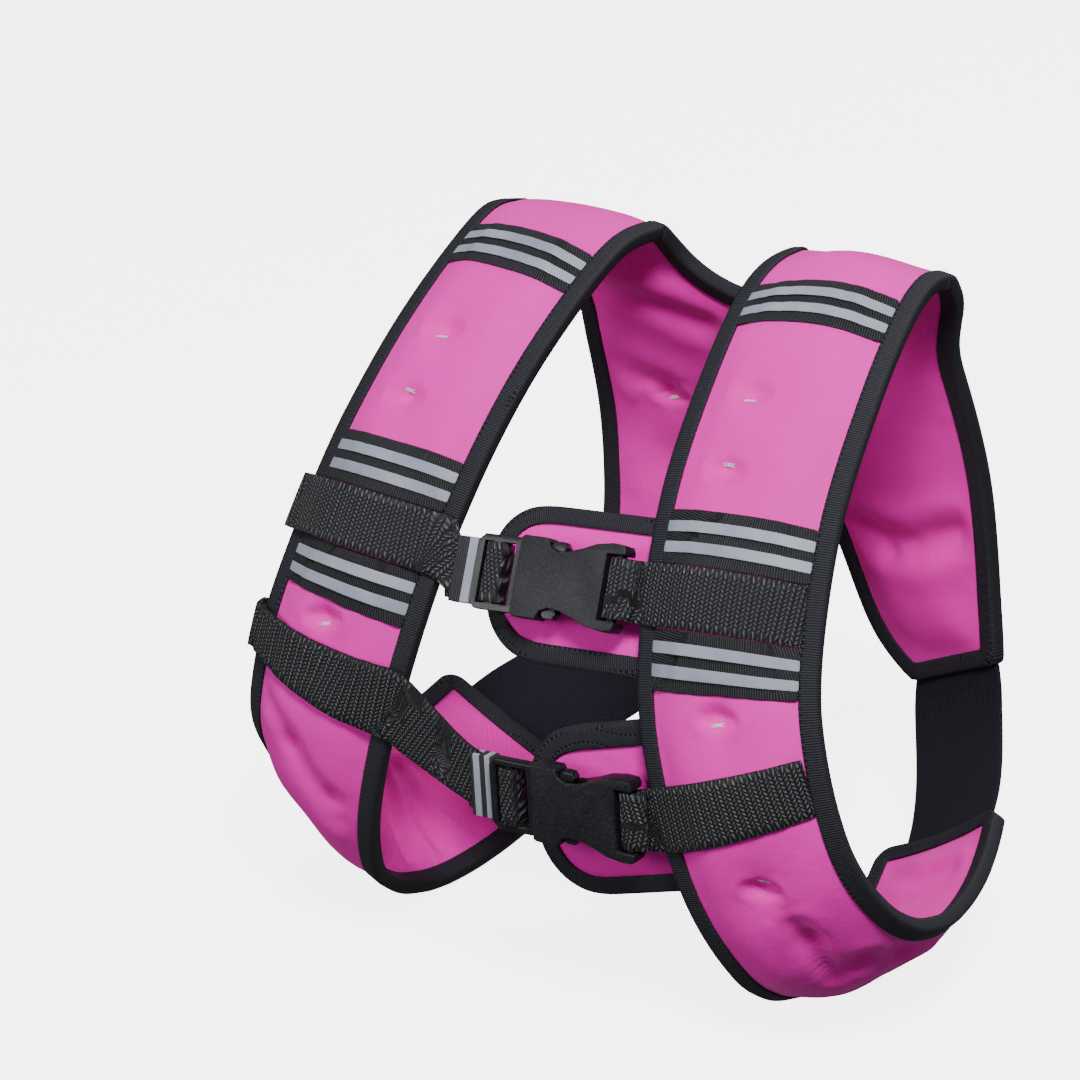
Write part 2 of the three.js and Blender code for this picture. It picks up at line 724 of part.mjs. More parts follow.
// Point over the back where the net hangs, held off the binding of the arch
function onNet(row, share, lift) {
  const held = row > archRow ? netInset + share * (1 - netInset) : share;
  const point = backPoint(row, held);
  const rise = netLift + netBulge * backPadding(point).share;
  return onBack(point[0], point[1], backRear(point) + rise + lift);
}

// Net pocket over the lower back, every other row of cells set half over
function netPocket() {
  const grid = (lift) => netPlaces.map((row) => netShares.map((share) => onNet(row, share, lift)));
  const last = netShares.length - 2;
  const filled = (i, j) => {
    if (i % 2 === 0 || j === 0 || j === last) return true;
    const bar = j % 2 === 0;
    return bar && (j / 2 + (i - 1) / 2) % 2 === 0;
  };
  const onMiddle = (i) => netPlaces[i + 1] <= archRow;
  const left = slab(grid(netThickness), grid(0), filled, onMiddle);
  return [...left, ...mirrored(left)];
}

// Hem over the top of the net
function pocketHem() {
  const rows = [hemRow - hemAbove, ...netPlaces.slice(0, 2), hemRow + hemBelow];
  const base = netThickness + 2 * clearance;
  const grid = (lift) => rows.map((row) => netShares.map((share) => onNet(row, share, base + lift)));
  const left = slab(grid(hemThickness), grid(0), () => true, () => true);
  return [...left, ...mirrored(left)];
}

// Strap through stations, each turning a share of its width and a height into a point
function strapThrough(stations, shares, thickness) {
  const grid = (raised) => stations.map((station) => shares.map((share) => station(share, raised)));
  return slab(grid(thickness / 2), grid(-thickness / 2));
}

// Side elastic from the tip of a front band up to the bottom of the back
function sideElastic() {
  const gap = 2 * clearance + bindingThickness;
  const low = bandFrame(bandLength).across;
  const first = lastRow - archRow;
  const [inner, outer] = [first, first + lastShare].map((i) => onBack(
    backEdge[i][0] + backMitres[i][0] * gap, backEdge[i][1] + backMitres[i][1] * gap, 0));
  const high = outer.clone().sub(inner).normalize();
  const from = onBand(bandLength + gap, 0, 0);
  const to = inner.clone().add(outer).multiplyScalar(0.5);
  const leave = bandMiddle(bandLength).sub(bandMiddle(bandLength - margin)).normalize();
  const [out, down] = backPoint(lastRow, 0.5);
  const arrive = onBack(out, down - margin, 0).sub(onBack(out, down, 0)).normalize();
  const pull = elasticPull * from.distanceTo(to);
  const line = new THREE.CubicBezierCurve3(
    from, from.clone().addScaledVector(leave, pull), to.clone().addScaledVector(arrive, -pull), to);
  const stations = [];
  for (let k = 0; k <= elasticSteps; k += 1) {
    const middle = line.getPoint(k / elasticSteps);
    const along = line.getTangent(k / elasticSteps);
    const wide = low.clone().lerp(high, k / elasticSteps).setLength(elasticWidth);
    const face = along.cross(wide).normalize();
    stations.push((share, raised) => (
      middle.clone().addScaledVector(wide, share - 0.5).addScaledVector(face, raised)));
  }
  return strapThrough(stations, [0, 1 / 3, 2 / 3, 1], elasticThickness);
}

// Chest straps: where they cross the neck edge of the left band, how far the buckle and
// the pad rise to the left, and the length of the pad
const chestStraps = {
  upper: { start: strapPlaces.upper, rightStart: strapPlaces.upper, skew: 0, buckleRise: 0.08,
    padRise: 0.08, padLength: 112 },
  lower: { start: strapPlaces.lower, rightStart: strapPlaces.lower - webbingWidth / 2,
    skew: strapSkew, buckleRise: 0.05, padRise: 0.30, padLength: 97 },
};

// Direction down the neck edge of the left band, and a frame with its long axis to the left
const edgeDown = (along) => (
  onBand(along + 1, -halfBand, 0).sub(onBand(along - 1, -halfBand, 0)).normalize());

function buckleFrame({ start, buckleRise }) {
  const along = start + webbingWidth / 2;
  const steep = edgeDown(along).negate().setX(0).normalize();
  const side = new THREE.Vector3(1, 0, 0).addScaledVector(steep, buckleRise).normalize();
  const up = steep.addScaledVector(side, -steep.dot(side)).normalize();
  const out = side.clone().cross(up);
  const reach = frameLength + buckleLength + buckleGap;
  const origin = onBand(along, -halfBand, 0)
    .addScaledVector(side, -reach).addScaledVector(out, buckleLift);
  return new THREE.Matrix4().makeBasis(side, up, out).setPosition(origin);
}

// Places in a buckle's frame: x to the left from the end of its frame, y up, z forward
const socketBar = frameLength + buckleLength * 0.93;
const socketBarHalf = 2;
const layer = webbingThickness + clearance;
const behindFrame = -(frameThickness / 2 + clearance + webbingThickness / 2);
const roundSocketBar = socketBarHalf + clearance + webbingThickness / 2;
const firstSlot = [frameRim, frameRim + 5.8];
const secondSlot = [firstSlot[1] + barWidth, frameLength - frameRim];

// Line with each inner corner cut back to two points
function eased(line) {
  const points = line.map(([x, y]) => new THREE.Vector2(x, y));
  const result = [line[0]];
  for (let i = 1; i < points.length - 1; i += 1) {
    for (const other of [points[i - 1], points[i + 1]]) {
      const near = points[i].clone().add(other.clone().sub(points[i]).setLength(webbingBend));
      result.push([near.x, near.y]);
    }
  }
  return [...result, line.at(-1)];
}

// Stations of webbing along a line in a buckle's frame
function buckleStations(frame, line) {
  const path = eased(line);
  const normals = mitres(path, false);
  return path.map(([x, z], i) => (share, raised) => new THREE.Vector3(
    x + normals[i][0] * raised, (0.5 - share) * webbingWidth, z + normals[i][1] * raised,
  ).applyMatrix4(frame));
}

// Stations of webbing along a line of places across a band and heights over its middle layer
function overBand(start, skew, path, turn) {
  const middle = start + webbingWidth / 2;
  const normals = mitres(path.map(([across, height]) => [across, height(middle, across)]), false);
  return path.map(([across, height], i) => (share, raised) => {
    const along = start + skew * across + share * webbingWidth;
    const out = turn ? -raised : raised;
    const far = across + normals[i][0] * out;
    const point = onBand(along, far, height(along, across) + normals[i][1] * out);
    return turn ? point.setX(-point.x) : point;
  });
}

const innerColumns = acrossShares.slice(1, -1).map((share) => share * (halfBand - margin));
const overBinding = edgeThickness / 2 + 2 * clearance + bindingThickness + webbingThickness / 2;
const pastBinding = halfBand + clearance + bindingThickness;

// Left webbing: sewn flat over the band, off its neck edge and round the bar of the socket
function leftWebbing(level) {
  const { start } = chestStraps[level];
  const flat = (along, across) => bandOuter(along, across) + clearance + webbingThickness / 2;
  const edge = () => overBinding;
  const path = [tapeReach, ...[...innerColumns].reverse()].map((across) => [across, flat]);
  path.push([-(halfBand - bindingWidth), edge], [-pastBinding, edge]);
  const inSlot = socketBar - socketBarHalf - clearance - webbingThickness;
  const under = -roundSocketBar;
  const loop = buckleStations(buckleFrame(chestStraps[level]), [
    [frameLength + buckleLength, under], [inSlot, under], [inSlot, roundSocketBar],
    [socketBar + socketBarHalf, roundSocketBar],
    [frameLength + buckleLength + loopTail, under + layer + webbingThickness / 2],
  ]);
  const shares = [0, ...rowsInside(start, start + webbingWidth).map((row) => (row - start) / webbingWidth), 1];
  return strapThrough([...overBand(start, 0, path, false), ...loop], shares, webbingThickness);
}

// Right webbing: hooked round the arm edge, loose over the band, then round the frame's bar
function rightWebbing(level) {
  const { rightStart, skew } = chestStraps[level];
  const inside = (along, across) => -bandInner(along, across) - strapSlack - webbingThickness / 2;
  const loose = (along, across) => bandOuter(along, across) + strapSlack + webbingThickness / 2;
  const at = (height) => () => height;
  const over = overBinding + strapSlack;
  const path = [
    [halfBand - hookTail, inside], [innerColumns.at(-1), inside],
    [halfBand - bindingWidth, at(-over)], [halfBand + hookReach / 2, at(-over)],
    [halfBand + hookReach, at(0)], [halfBand + hookReach / 2, at(over)],
    [halfBand - bindingWidth, at(over)],
    ...[...innerColumns].reverse().map((across) => [across, loose]),
    [-(halfBand - bindingWidth), at(over)], [-pastBinding, at(overBinding)],
  ];
  const up = (firstSlot[0] + firstSlot[1]) / 2;
  const down = secondSlot[0] + clearance + webbingThickness;
  const keeperEnd = -(keeperGap + keeperLength);
  const loop = buckleStations(buckleFrame(chestStraps[level]), [
    [keeperEnd, behindFrame], [up, behindFrame], [up, -behindFrame],
    [down, -behindFrame], [down, behindFrame - layer], [keeperEnd - loopTail, behindFrame - layer],
  ]);
  return strapThrough([...overBand(rightStart, skew, path, true), ...loop], [0, 0.5, 1], webbingThickness);
}

// Triangles of a geometry, moved into a frame
function trianglesOf(geometry, frame) {
  const at = geometry.attributes.position;
  const order = geometry.index ? Array.from(geometry.index.array) : [...Array(at.count).keys()];
  return order.map((i) => new THREE.Vector3().fromBufferAttribute(at, i).applyMatrix4(frame));
}

// Closed solid of triangles, for joins and cuts
function solidOf(triangles) {
  const geometry = closedPiece(triangles);
  return new wasm.Manifold(new wasm.Mesh({
    numProp: 3,
    vertProperties: new Float32Array(geometry.attributes.position.array),
    triVerts: new Uint32Array(geometry.index.array),
  }));
}

// Triangles of a solid, moved into a frame
function solidTriangles(solid, frame) {
  const { vertProperties: at, triVerts } = solid.getMesh();
  return Array.from(triVerts, (i) => (
    new THREE.Vector3(at[3 * i], at[3 * i + 1], at[3 * i + 2]).applyMatrix4(frame)));
}

const still = new THREE.Matrix4();

// Plate of a flat outline about the middle plane
function plate(outline, thickness) {
  const shape = new THREE.Shape(outline.map(([x, y]) => new THREE.Vector2(x, y)));
  const geometry = new THREE.ExtrudeGeometry(shape, { depth: thickness, bevelEnabled: false });
  return solidOf(trianglesOf(geometry.translate(0, 0, -thickness / 2), still));
}

function box([x0, x1], halfWide, [z0, z1]) {
  const geometry = new THREE.BoxGeometry(x1 - x0, 2 * halfWide, z1 - z0);
  geometry.translate((x0 + x1) / 2, 0, (z0 + z1) / 2);
  return solidOf(trianglesOf(geometry, still));
}

// Outline of the upper half of the socket and of the latch: along is a share of the
// length, wide a share of half the width
const socketHalf = [
  { along: 0, wide: 0.89 }, { along: 0.03, wide: 0.935 }, { along: 0.25, wide: 0.935 },
  { along: 0.28, wide: 0.74 }, { along: 0.36, wide: 0.655 }, { along: 0.47, wide: 0.69 },
  { along: 0.60, wide: 0.80 }, { along: 0.72, wide: 0.935 }, { along: 0.875, wide: 1 },
  { along: 0.98, wide: 0.98 }, { along: 1, wide: 0.87 }, { along: 1, wide: 0.76 },
  { along: 0.83, wide: 0.75 },
];
const latchHalf = [
  { along: 0, wide: 0.70 }, { along: 0.06, wide: 0.87 }, { along: 0.42, wide: 0.87 },
  { along: 0.455, wide: 0.81 }, { along: 0.72, wide: 0.81 }, { along: 0.745, wide: 0.885 },
  { along: 0.83, wide: 0.885 }, { along: 0.86, wide: 0.76 }, { along: 0.84, wide: 0.63 },
  { along: 0.72, wide: 0.61 }, { along: 0.53, wide: 0.61 }, { along: 0.505, wide: 0.50 },
];

function bothHalves(rows, length, start) {
  const upper = rows.map(({ along, wide }) => [start + along * length, wide * buckleWidth / 2]);
  return [...upper, ...upper.map(([x, y]) => [x, -y]).reverse()];
}

// Socket with an open slot for the latch and a bar for the webbing
function buckleSocket() {
  const shell = plate(bothHalves(socketHalf, buckleLength, frameLength), buckleThickness);
  const hollow = buckleThickness / 2 - buckleWall;
  const mouth = [frameLength - clearance, frameLength + 0.53 * buckleLength];
  const cavity = box(mouth, 0.84 * buckleWidth / 2, [-hollow, hollow]);
  const bar = box(
    [socketBar - socketBarHalf, socketBar + socketBarHalf], 0.8 * buckleWidth / 2,
    [-socketBarHalf, socketBarHalf]);
  return shell.subtract(cavity).add(bar);
}

// Latch: a frame with two slots, and two arms whose ends stand out at the sides
function buckleLatch() {
  const body = plate(bothHalves(latchHalf, buckleLength, 0), frameThickness);
  const slot = (place) => (
    box(place, webbingWidth / 2 + clearance, [-frameThickness, frameThickness]));
  return body.subtract(slot(firstSlot)).subtract(slot(secondSlot));
}

// Keeper ring round both layers of webbing beside the frame
function keeperRing() {
  const place = [-(keeperGap + keeperLength), -keeperGap];
  const low = behindFrame - layer - webbingThickness / 2 - clearance;
  const high = behindFrame + webbingThickness / 2 + clearance;
  const wide = webbingWidth / 2 + clearance;
  const ring = box(place, wide + keeperThickness, [low - keeperThickness, high + keeperThickness]);
  return ring.subtract(box([place[0] - keeperGap, place[1] + keeperGap], wide, [low, high]));
}

// Soft pad behind a buckle, tucked under the neck edge of the left band
function bucklePad({ start, padRise, padLength }) {
  const middle = start + webbingWidth / 2;
  const steep = edgeDown(middle).negate().setX(0).normalize();
  const side = new THREE.Vector3(-1, 0, 0).addScaledVector(steep, -padRise).normalize();
  const drop = edgeThickness + 2 * bindingThickness + 5 * clearance;
  const place = ([x, y], raised) => {
    const out = edgeDown(middle + y).cross(side).normalize();
    if (out.y > 0) out.negate();
    return onBand(middle + y, -halfBand, 0).addScaledVector(side, x).addScaledVector(out, raised - drop);
  };
  const halfHigh = padHeight / 2 - margin;
  const radius = padCornerRadius - margin;
  const rows = [];
  for (let k = 0; k <= padRows; k += 1) {
    const y = halfHigh * Math.sin(Math.PI * (k / padRows - 0.5));
    const past = Math.max(0, Math.abs(y) - (halfHigh - radius));
    const inset = radius - Math.sqrt(Math.max(0, radius ** 2 - past ** 2));
    rows.push({ from: [margin - padTuck, y], to: [padLength - padTuck - margin - inset, y] });
  }
  const grid = patternGrid(rows, padShares);
  const last = padShares.length - 1;
  const stitch = [];
  for (let i = 0; i < padRows; i += 1) stitch.push(grid[i][0]);
  for (let j = 0; j < last; j += 1) stitch.push(grid[padRows][j]);
  for (let i = padRows; i > 0; i -= 1) stitch.push(grid[i][last]);
  for (let j = last; j > 0; j -= 1) stitch.push(grid[0][j]);
  const normals = mitres(stitch, true);
  const edge = outwardFrom(stitch, normals, margin);
  const height = (point) => {
    const share = padShare(distanceTo([...edge, edge[0]], point), padHeight / 2);
    return edgeThickness / 2 + share * (padLoft - edgeThickness) / 2;
  };
  const body = sheetSolid(
    grid, stitch, edge, true,
    (point) => place(point, height(point)), (point) => place(point, -height(point)));
  const section = bindingSection();
  const rings = edge.map(([x, y], i) => section.map(([inward, raised]) => (
    place([x - normals[i][0] * inward, y - normals[i][1] * inward], raised))));
  return { body, binding: sweep([...rings, rings[0]], section, false, false) };
}

const group = new THREE.Group();
group.name = 'weighted_vest';

function add(name, triangles, [hex, roughness, metalness]) {
  const material = new THREE.MeshStandardMaterial({ color: hex, roughness, metalness });
  const mesh = new THREE.Mesh(closedPiece(triangles), material);
  mesh.name = name;
  group.add(mesh);
}

const sides = { left: (triangles) => triangles, right: mirrored };
for (const [side, turn] of Object.entries(sides)) {
  add(`front_panel_${side}`, turn(frontPanel()), colour.neoprene);
  add(`front_binding_${side}`, turn(frontBinding()), colour.binding);
  for (const [level, place] of Object.entries(tapePlaces)) {
    add(`reflective_tape_${side}_${level}`, turn(tape(place)), colour.grosgrain);
    for (const [order, offset] of [['a', -stripeSpacing / 2], ['b', stripeSpacing / 2]]) {
      add(`silver_stripe_${side}_${level}_${order}`, turn(stripe(place, offset)), colour.silver);
    }
  }
}
add('back_panel', backPanel(), colour.neoprene);
add('armhole_binding', armBinding(), colour.binding);
add('neck_binding', neckBinding(), colour.binding);
add('net_pocket', netPocket(), colour.net);
add('pocket_hem', pocketHem(), colour.grosgrain);
for (const [side, turn] of Object.entries(sides)) {
  add(`side_elastic_${side}`, turn(sideElastic()), colour.elastic);
}
for (const [level, strap] of Object.entries(chestStraps)) {
  const frame = buckleFrame(strap);
  const pad = bucklePad(strap);
  add(`webbing_left_${level}`, leftWebbing(level), colour.webbing);
  add(`webbing_right_${level}`, rightWebbing(level), colour.webbing);
  add(`buckle_socket_${level}`, solidTriangles(buckleSocket(), frame), colour.plastic);
  add(`buckle_latch_${level}`, solidTriangles(buckleLatch(), frame), colour.plastic);
  add(`strap_keeper_${level}`, solidTriangles(keeperRing(), frame), colour.grosgrain);
  add(`buckle_pad_${level}`, pad.body, colour.neoprene);
  add(`buckle_pad_binding_${level}`, pad.binding, colour.binding);
}

export default group;
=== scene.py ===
import math

import bpy
import numpy
from mathutils import Matrix, Vector, noise
from mathutils.bvhtree import BVHTree
from mathutils.kdtree import KDTree


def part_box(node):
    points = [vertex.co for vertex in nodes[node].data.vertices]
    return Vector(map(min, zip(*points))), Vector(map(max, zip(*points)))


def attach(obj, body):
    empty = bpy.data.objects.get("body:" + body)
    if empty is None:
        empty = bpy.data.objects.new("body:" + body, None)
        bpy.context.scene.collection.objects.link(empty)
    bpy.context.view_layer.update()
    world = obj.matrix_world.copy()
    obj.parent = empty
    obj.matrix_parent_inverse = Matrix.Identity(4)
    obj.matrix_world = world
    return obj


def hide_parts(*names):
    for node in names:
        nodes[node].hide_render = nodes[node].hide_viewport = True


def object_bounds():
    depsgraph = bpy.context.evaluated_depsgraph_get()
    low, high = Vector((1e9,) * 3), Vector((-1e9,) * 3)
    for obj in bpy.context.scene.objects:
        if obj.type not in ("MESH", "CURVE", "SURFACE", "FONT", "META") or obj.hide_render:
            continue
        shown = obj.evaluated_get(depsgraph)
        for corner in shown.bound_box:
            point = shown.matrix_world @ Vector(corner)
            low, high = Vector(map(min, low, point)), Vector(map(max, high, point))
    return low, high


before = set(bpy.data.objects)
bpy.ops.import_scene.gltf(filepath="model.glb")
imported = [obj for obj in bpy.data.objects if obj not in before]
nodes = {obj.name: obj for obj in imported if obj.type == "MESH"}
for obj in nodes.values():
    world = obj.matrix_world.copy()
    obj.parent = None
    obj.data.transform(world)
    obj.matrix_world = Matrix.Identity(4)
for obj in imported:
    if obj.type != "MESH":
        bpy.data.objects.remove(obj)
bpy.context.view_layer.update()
mm = 0.001


# camera, set where the photograph was taken from
cameraSettings = {
    "azimuth": 35.19, "elevation": 22.0, "roll": -3.5,  # degrees
    "distance": 2.2, "aim": (0, -0.088, -0.038),  # metres
    "focal": 4150.74, "frameSize": 1080, "centreX": 81.2, "centreY": -161.9,  # pixels
    "clipEnd": 60,
}


def cameraAxes():
    turn, rise = (math.radians(cameraSettings[key]) for key in ("azimuth", "elevation"))
    roll = math.radians(cameraSettings["roll"])
    level = Vector((math.cos(turn), math.sin(turn), 0))
    back = Vector((math.sin(turn) * math.cos(rise), -math.cos(turn) * math.cos(rise), math.sin(rise)))
    upright = back.cross(level)
    right = math.cos(roll) * level + math.sin(roll) * upright
    up = -math.sin(roll) * level + math.cos(roll) * upright
    return right, up, back


cameraRight, cameraUp, cameraBack = cameraAxes()
cameraPlace = cameraSettings["distance"] * cameraBack + Vector(cameraSettings["aim"])


def addCamera():
    data = bpy.data.cameras.new("camera")
    data.sensor_width = 36
    data.lens = data.sensor_width * cameraSettings["focal"] / cameraSettings["frameSize"]
    data.shift_x = -cameraSettings["centreX"] / cameraSettings["frameSize"]
    data.shift_y = cameraSettings["centreY"] / cameraSettings["frameSize"]
    data.clip_end = cameraSettings["clipEnd"]
    camera = bpy.data.objects.new("camera", data)
    bpy.context.scene.collection.objects.link(camera)
    turned = Matrix((cameraRight, cameraUp, cameraBack)).transposed().to_4x4()
    camera.matrix_world = Matrix.Translation(cameraPlace) @ turned
    bpy.context.scene.camera = camera


def sightLine(pixel):
    half = cameraSettings["frameSize"] / 2
    x = (pixel[0] - half - cameraSettings["centreX"]) / cameraSettings["focal"]
    y = (pixel[1] - half - cameraSettings["centreY"]) / cameraSettings["focal"]
    return (x * cameraRight - y * cameraUp - cameraBack).normalized()


addCamera()
print("camera ready")


# shader helpers
class Wire:  # a socket that can be added, multiplied and so on
    def __init__(self, tree, socket):
        self.tree = tree
        self.socket = socket

    def maths(self, operation, first, second=None):
        step = self.tree.nodes.new("ShaderNodeMath")
        step.operation = operation
        for place, value in enumerate((first, second)):
            if value is not None:
                plug(self.tree, step.inputs[place], value)
        return Wire(self.tree, step.outputs[0])

    def __add__(self, other):
        return self.maths("ADD", self, other)

    def __radd__(self, other):
        return self.maths("ADD", other, self)

    def __sub__(self, other):
        return self.maths("SUBTRACT", self, other)

    def __rsub__(self, other):
        return self.maths("SUBTRACT", other, self)

    def __mul__(self, other):
        return self.maths("MULTIPLY", self, other)

    def __rmul__(self, other):
        return self.maths("MULTIPLY", other, self)

    def __truediv__(self, other):
        return self.maths("DIVIDE", self, other)

    def __pow__(self, other):
        return self.maths("POWER", self, other)

    def sine(self):
        return self.maths("SINE", self)

    def cosine(self):
        return self.maths("COSINE", self)

    def floor(self):
        return self.maths("FLOOR", self)

    def wrapped(self, span):
        return self.maths("FLOORED_MODULO", self, span)

    def size(self):
        return self.maths("ABSOLUTE", self)

    def over(self, limit):
        return self.maths("GREATER_THAN", self, limit)

    def larger(self, other):
        return self.maths("MAXIMUM", self, other)


def plug(tree, target, value):
    if isinstance(value, Wire):
        tree.links.new(value.socket, target)
    else:
        target.default_value = value


class Finish:  # one material and its nodes
    def __init__(self, name):
        self.material = bpy.data.materials.new(name)
        self.material.use_nodes = True
        self.tree = self.material.node_tree
        self.shader = self.tree.nodes["Principled BSDF"]

    def node(self, kind, settings=None, values=None, output=0):
        step = self.tree.nodes.new("ShaderNode" + kind)
        for key, value in (settings or {}).items():
            setattr(step, key, value)
        for key, value in (values or {}).items():
            plug(self.tree, step.inputs[key], value)
        return Wire(self.tree, step.outputs[output])

    def place(self):
        return self.node("TexCoord", output="Object")

    def along(self, direction):  # metres along a direction
        return self.node("VectorMath", {"operation": "DOT_PRODUCT"}, {0: self.place(), 1: direction}, "Value")

    def waves(self, direction, pitch):
        return (self.along(direction) * (2 * math.pi / pitch)).sine()

    def run(self):  # metres along and across a strip
        run = self.node("Attribute", {"attribute_name": "run"}, None, "Vector")
        return [self.node("SeparateXYZ", None, {"Vector": run}, output) for output in ("X", "Y")]

    def speckle(self, scale, detail=3.0, roughness=0.55):
        values = {"Vector": self.place(), "Scale": scale, "Detail": detail, "Roughness": roughness}
        return self.node("TexNoise", None, values)

    def blend(self, factor, first, second):
        values = {0: factor, 6: first, 7: second}
        return self.node("Mix", {"data_type": "RGBA", "clamp_factor": True}, values, 2)

    def relief(self, height, distance, strength=1.0):
        return self.node("Bump", None, {"Height": height, "Distance": distance, "Strength": strength})

    def finish(self, **sockets):
        for name, value in sockets.items():
            plug(self.tree, self.shader.inputs[name.replace("_", " ")], value)
        return self.material


neopreneLook = {
    "light": (0.94, 0.004, 0.50, 1), "deep": (0.78, 0.003, 0.37, 1), "worn": (1.0, 0.045, 0.63, 1),
    "ribPitch": 1.3 * mm, "ribTurn": 38, "roughness": 0.75, "gloss": 0.22, "sheen": 0.06,
    "fibre": 1400, "cloud": 9, "patch": 42, "crumple": 120,  # noise scales
    "weaveDepth": 0.16 * mm, "crumpleDepth": 1.0 * mm,
}
# binding colours: "dark" is the black cloth, "light" is a painted highlight laid on the rib tops and stitch
# dashes
bindingLook = {
    "dark": (0.002, 0.002, 0.004, 1), "light": (0.040, 0.042, 0.058, 1), "rib": 1.3 * mm,
    "stitch": 3.2 * mm, "seam": 3.3 * mm, "seamWidth": 0.6 * mm, "gloss": 0.3, "depth": 0.5 * mm,
}
# tape colours: "dark" is the black cloth, "light" is a painted highlight on the rib tops (the keepers use
# them too)
tapeLook = {
    "dark": (0.003, 0.003, 0.004, 1), "light": (0.060, 0.062, 0.075, 1), "rib": 1.35 * mm, "gloss": 0.3,
    "depth": 0.4 * mm,
}
# webbing colours: "dark" is the black cloth, "light" is a painted highlight on the ridge tops of the weave
webbingLook = {
    "dark": (0.001, 0.001, 0.002, 1), "light": (0.115, 0.12, 0.135, 1),
    "column": 2.5 * mm, "dash": 2.3 * mm, "slant": 0.8, "gloss": 0.45, "depth": 1.0 * mm,
}
# elastic colours: "dark" is the black cloth, "light" is a painted highlight on the rib tops
elasticLook = {
    "dark": (0.003, 0.003, 0.006, 1), "light": (0.018, 0.019, 0.032, 1), "rib": 1.5 * mm, "gloss": 0.2,
    "depth": 0.45 * mm,
}
stripeLook = {
    "dark": (0.21, 0.225, 0.285, 1), "light": (0.36, 0.38, 0.46, 1), "beads": 2200.0, "depth": 0.1 * mm,
}
# plastic colours: "dark" is the black plastic, "light" is partly the grain's own tone and partly painted
# glints on its specks
plasticLook = {
    "dark": (0.003, 0.003, 0.005, 1), "light": (0.030, 0.032, 0.040, 1), "grain": 1100, "gloss": 0.35,
}
netLook = {
    "dark": (0.012, 0.013, 0.017, 1), "light": (0.04, 0.042, 0.05, 1), "threadGap": 4.4 * mm,
    "slanted": 0.34, "upright": 0.28,  # how far from a thread's middle its hole begins
}
threadLook = {"dark": (0.55, 0.50, 0.52, 1), "light": (0.85, 0.82, 0.83, 1), "twist": 0.5 * mm}


def neopreneFinish():
    look = Finish("pinkNeoprene")
    turn = math.radians(neopreneLook["ribTurn"])
    rib = look.waves((math.cos(turn), 0.25, math.sin(turn)), neopreneLook["ribPitch"])
    cross = look.waves((-math.sin(turn), 0.2, math.cos(turn)), neopreneLook["ribPitch"] * 0.8)
    fibre = look.speckle(neopreneLook["fibre"], 2.0)
    cloud = look.speckle(neopreneLook["cloud"], 3.0)
    patch = look.speckle(neopreneLook["patch"], 4.0)
    shade = look.blend(cloud * 1.6 - 0.35, neopreneLook["deep"], neopreneLook["light"])
    shade = look.blend((rib * 0.5 + 0.5) * 0.20 + patch * 0.12, shade, neopreneLook["worn"])
    weave = rib * 0.35 + cross * 0.15 + fibre * 0.9
    crumple = look.speckle(neopreneLook["crumple"], 5.0, 0.6)
    soft = look.relief(weave, neopreneLook["weaveDepth"], 0.7)
    values = {"Height": crumple, "Distance": neopreneLook["crumpleDepth"], "Strength": 0.35, "Normal": soft}
    look.shader.inputs["Specular IOR Level"].default_value = neopreneLook["gloss"]
    look.shader.inputs["Sheen Weight"].default_value = neopreneLook["sheen"]
    return look.finish(
        Base_Color=shade, Roughness=neopreneLook["roughness"] - patch * 0.12,
        Normal=look.node("Bump", None, values))


def bindingFinish():
    look = Finish("blackBinding")
    along, across = look.run()
    rib = (along * (2 * math.pi / bindingLook["rib"])).sine() * 0.5 + 0.5
    gap = (across.size() - bindingLook["seam"]).size() / bindingLook["seamWidth"]
    seam = (1 - gap).larger(0)
    dash = ((along * (2 * math.pi / bindingLook["stitch"])).sine() + 0.3).larger(0)
    lint = look.speckle(1100, 3.0)
    height = rib * 0.5 - seam * 1.6 + seam * dash * 1.5 + lint * 0.4
    # painted highlights on the rib tops and the stitch dashes, and painted shade in the seam groove, where
    # the ribs' highlight is dropped
    paintedShine = rib * (1 - seam) * 0.75 + seam * dash * 0.8
    look.shader.inputs["Specular IOR Level"].default_value = bindingLook["gloss"]
    return look.finish(
        Base_Color=look.blend(paintedShine * (lint + 0.35), bindingLook["dark"], bindingLook["light"]),
        Roughness=0.75 - rib * 0.12, Normal=look.relief(height, bindingLook["depth"], 0.9))


def tapeFinish():
    look = Finish("blackGrosgrain")
    along, _ = look.run()
    rib = (along * (2 * math.pi / tapeLook["rib"])).sine() * 0.5 + 0.5
    lint = look.speckle(1300, 3.0)
    look.shader.inputs["Specular IOR Level"].default_value = tapeLook["gloss"]
    # the base colour paints highlights on the rib tops
    return look.finish(
        Base_Color=look.blend(rib * rib * (lint * 1.3), tapeLook["dark"], tapeLook["light"]),
        Roughness=0.72 - rib * 0.1, Normal=look.relief(rib + lint * 0.5, tapeLook["depth"], 0.9))


def webbingFinish():
    look = Finish("blackWebbing")
    along, across = look.run()
    count = along / webbingLook["column"]
    column = count.floor()
    offset = count - column - 0.5
    side = column.wrapped(2)
    turn = side * 2 - 1
    step = across / webbingLook["dash"] + turn * offset * webbingLook["slant"] + side * 0.5
    dash = (step * (2 * math.pi)).cosine() * 0.5 + 0.5
    ridge = 1 - offset * offset * 4
    height = ridge * (0.25 + 0.75 * dash)
    lint = look.speckle(1500, 2.0)
    look.shader.inputs["Specular IOR Level"].default_value = webbingLook["gloss"]
    # the base colour paints highlights on the ridge tops of the weave
    return look.finish(
        Base_Color=look.blend(height ** 2.5 * (0.4 + lint), webbingLook["dark"], webbingLook["light"]),
        Roughness=0.62 - height * 0.22, Normal=look.relief(height + lint * 0.12, webbingLook["depth"], 1.0))


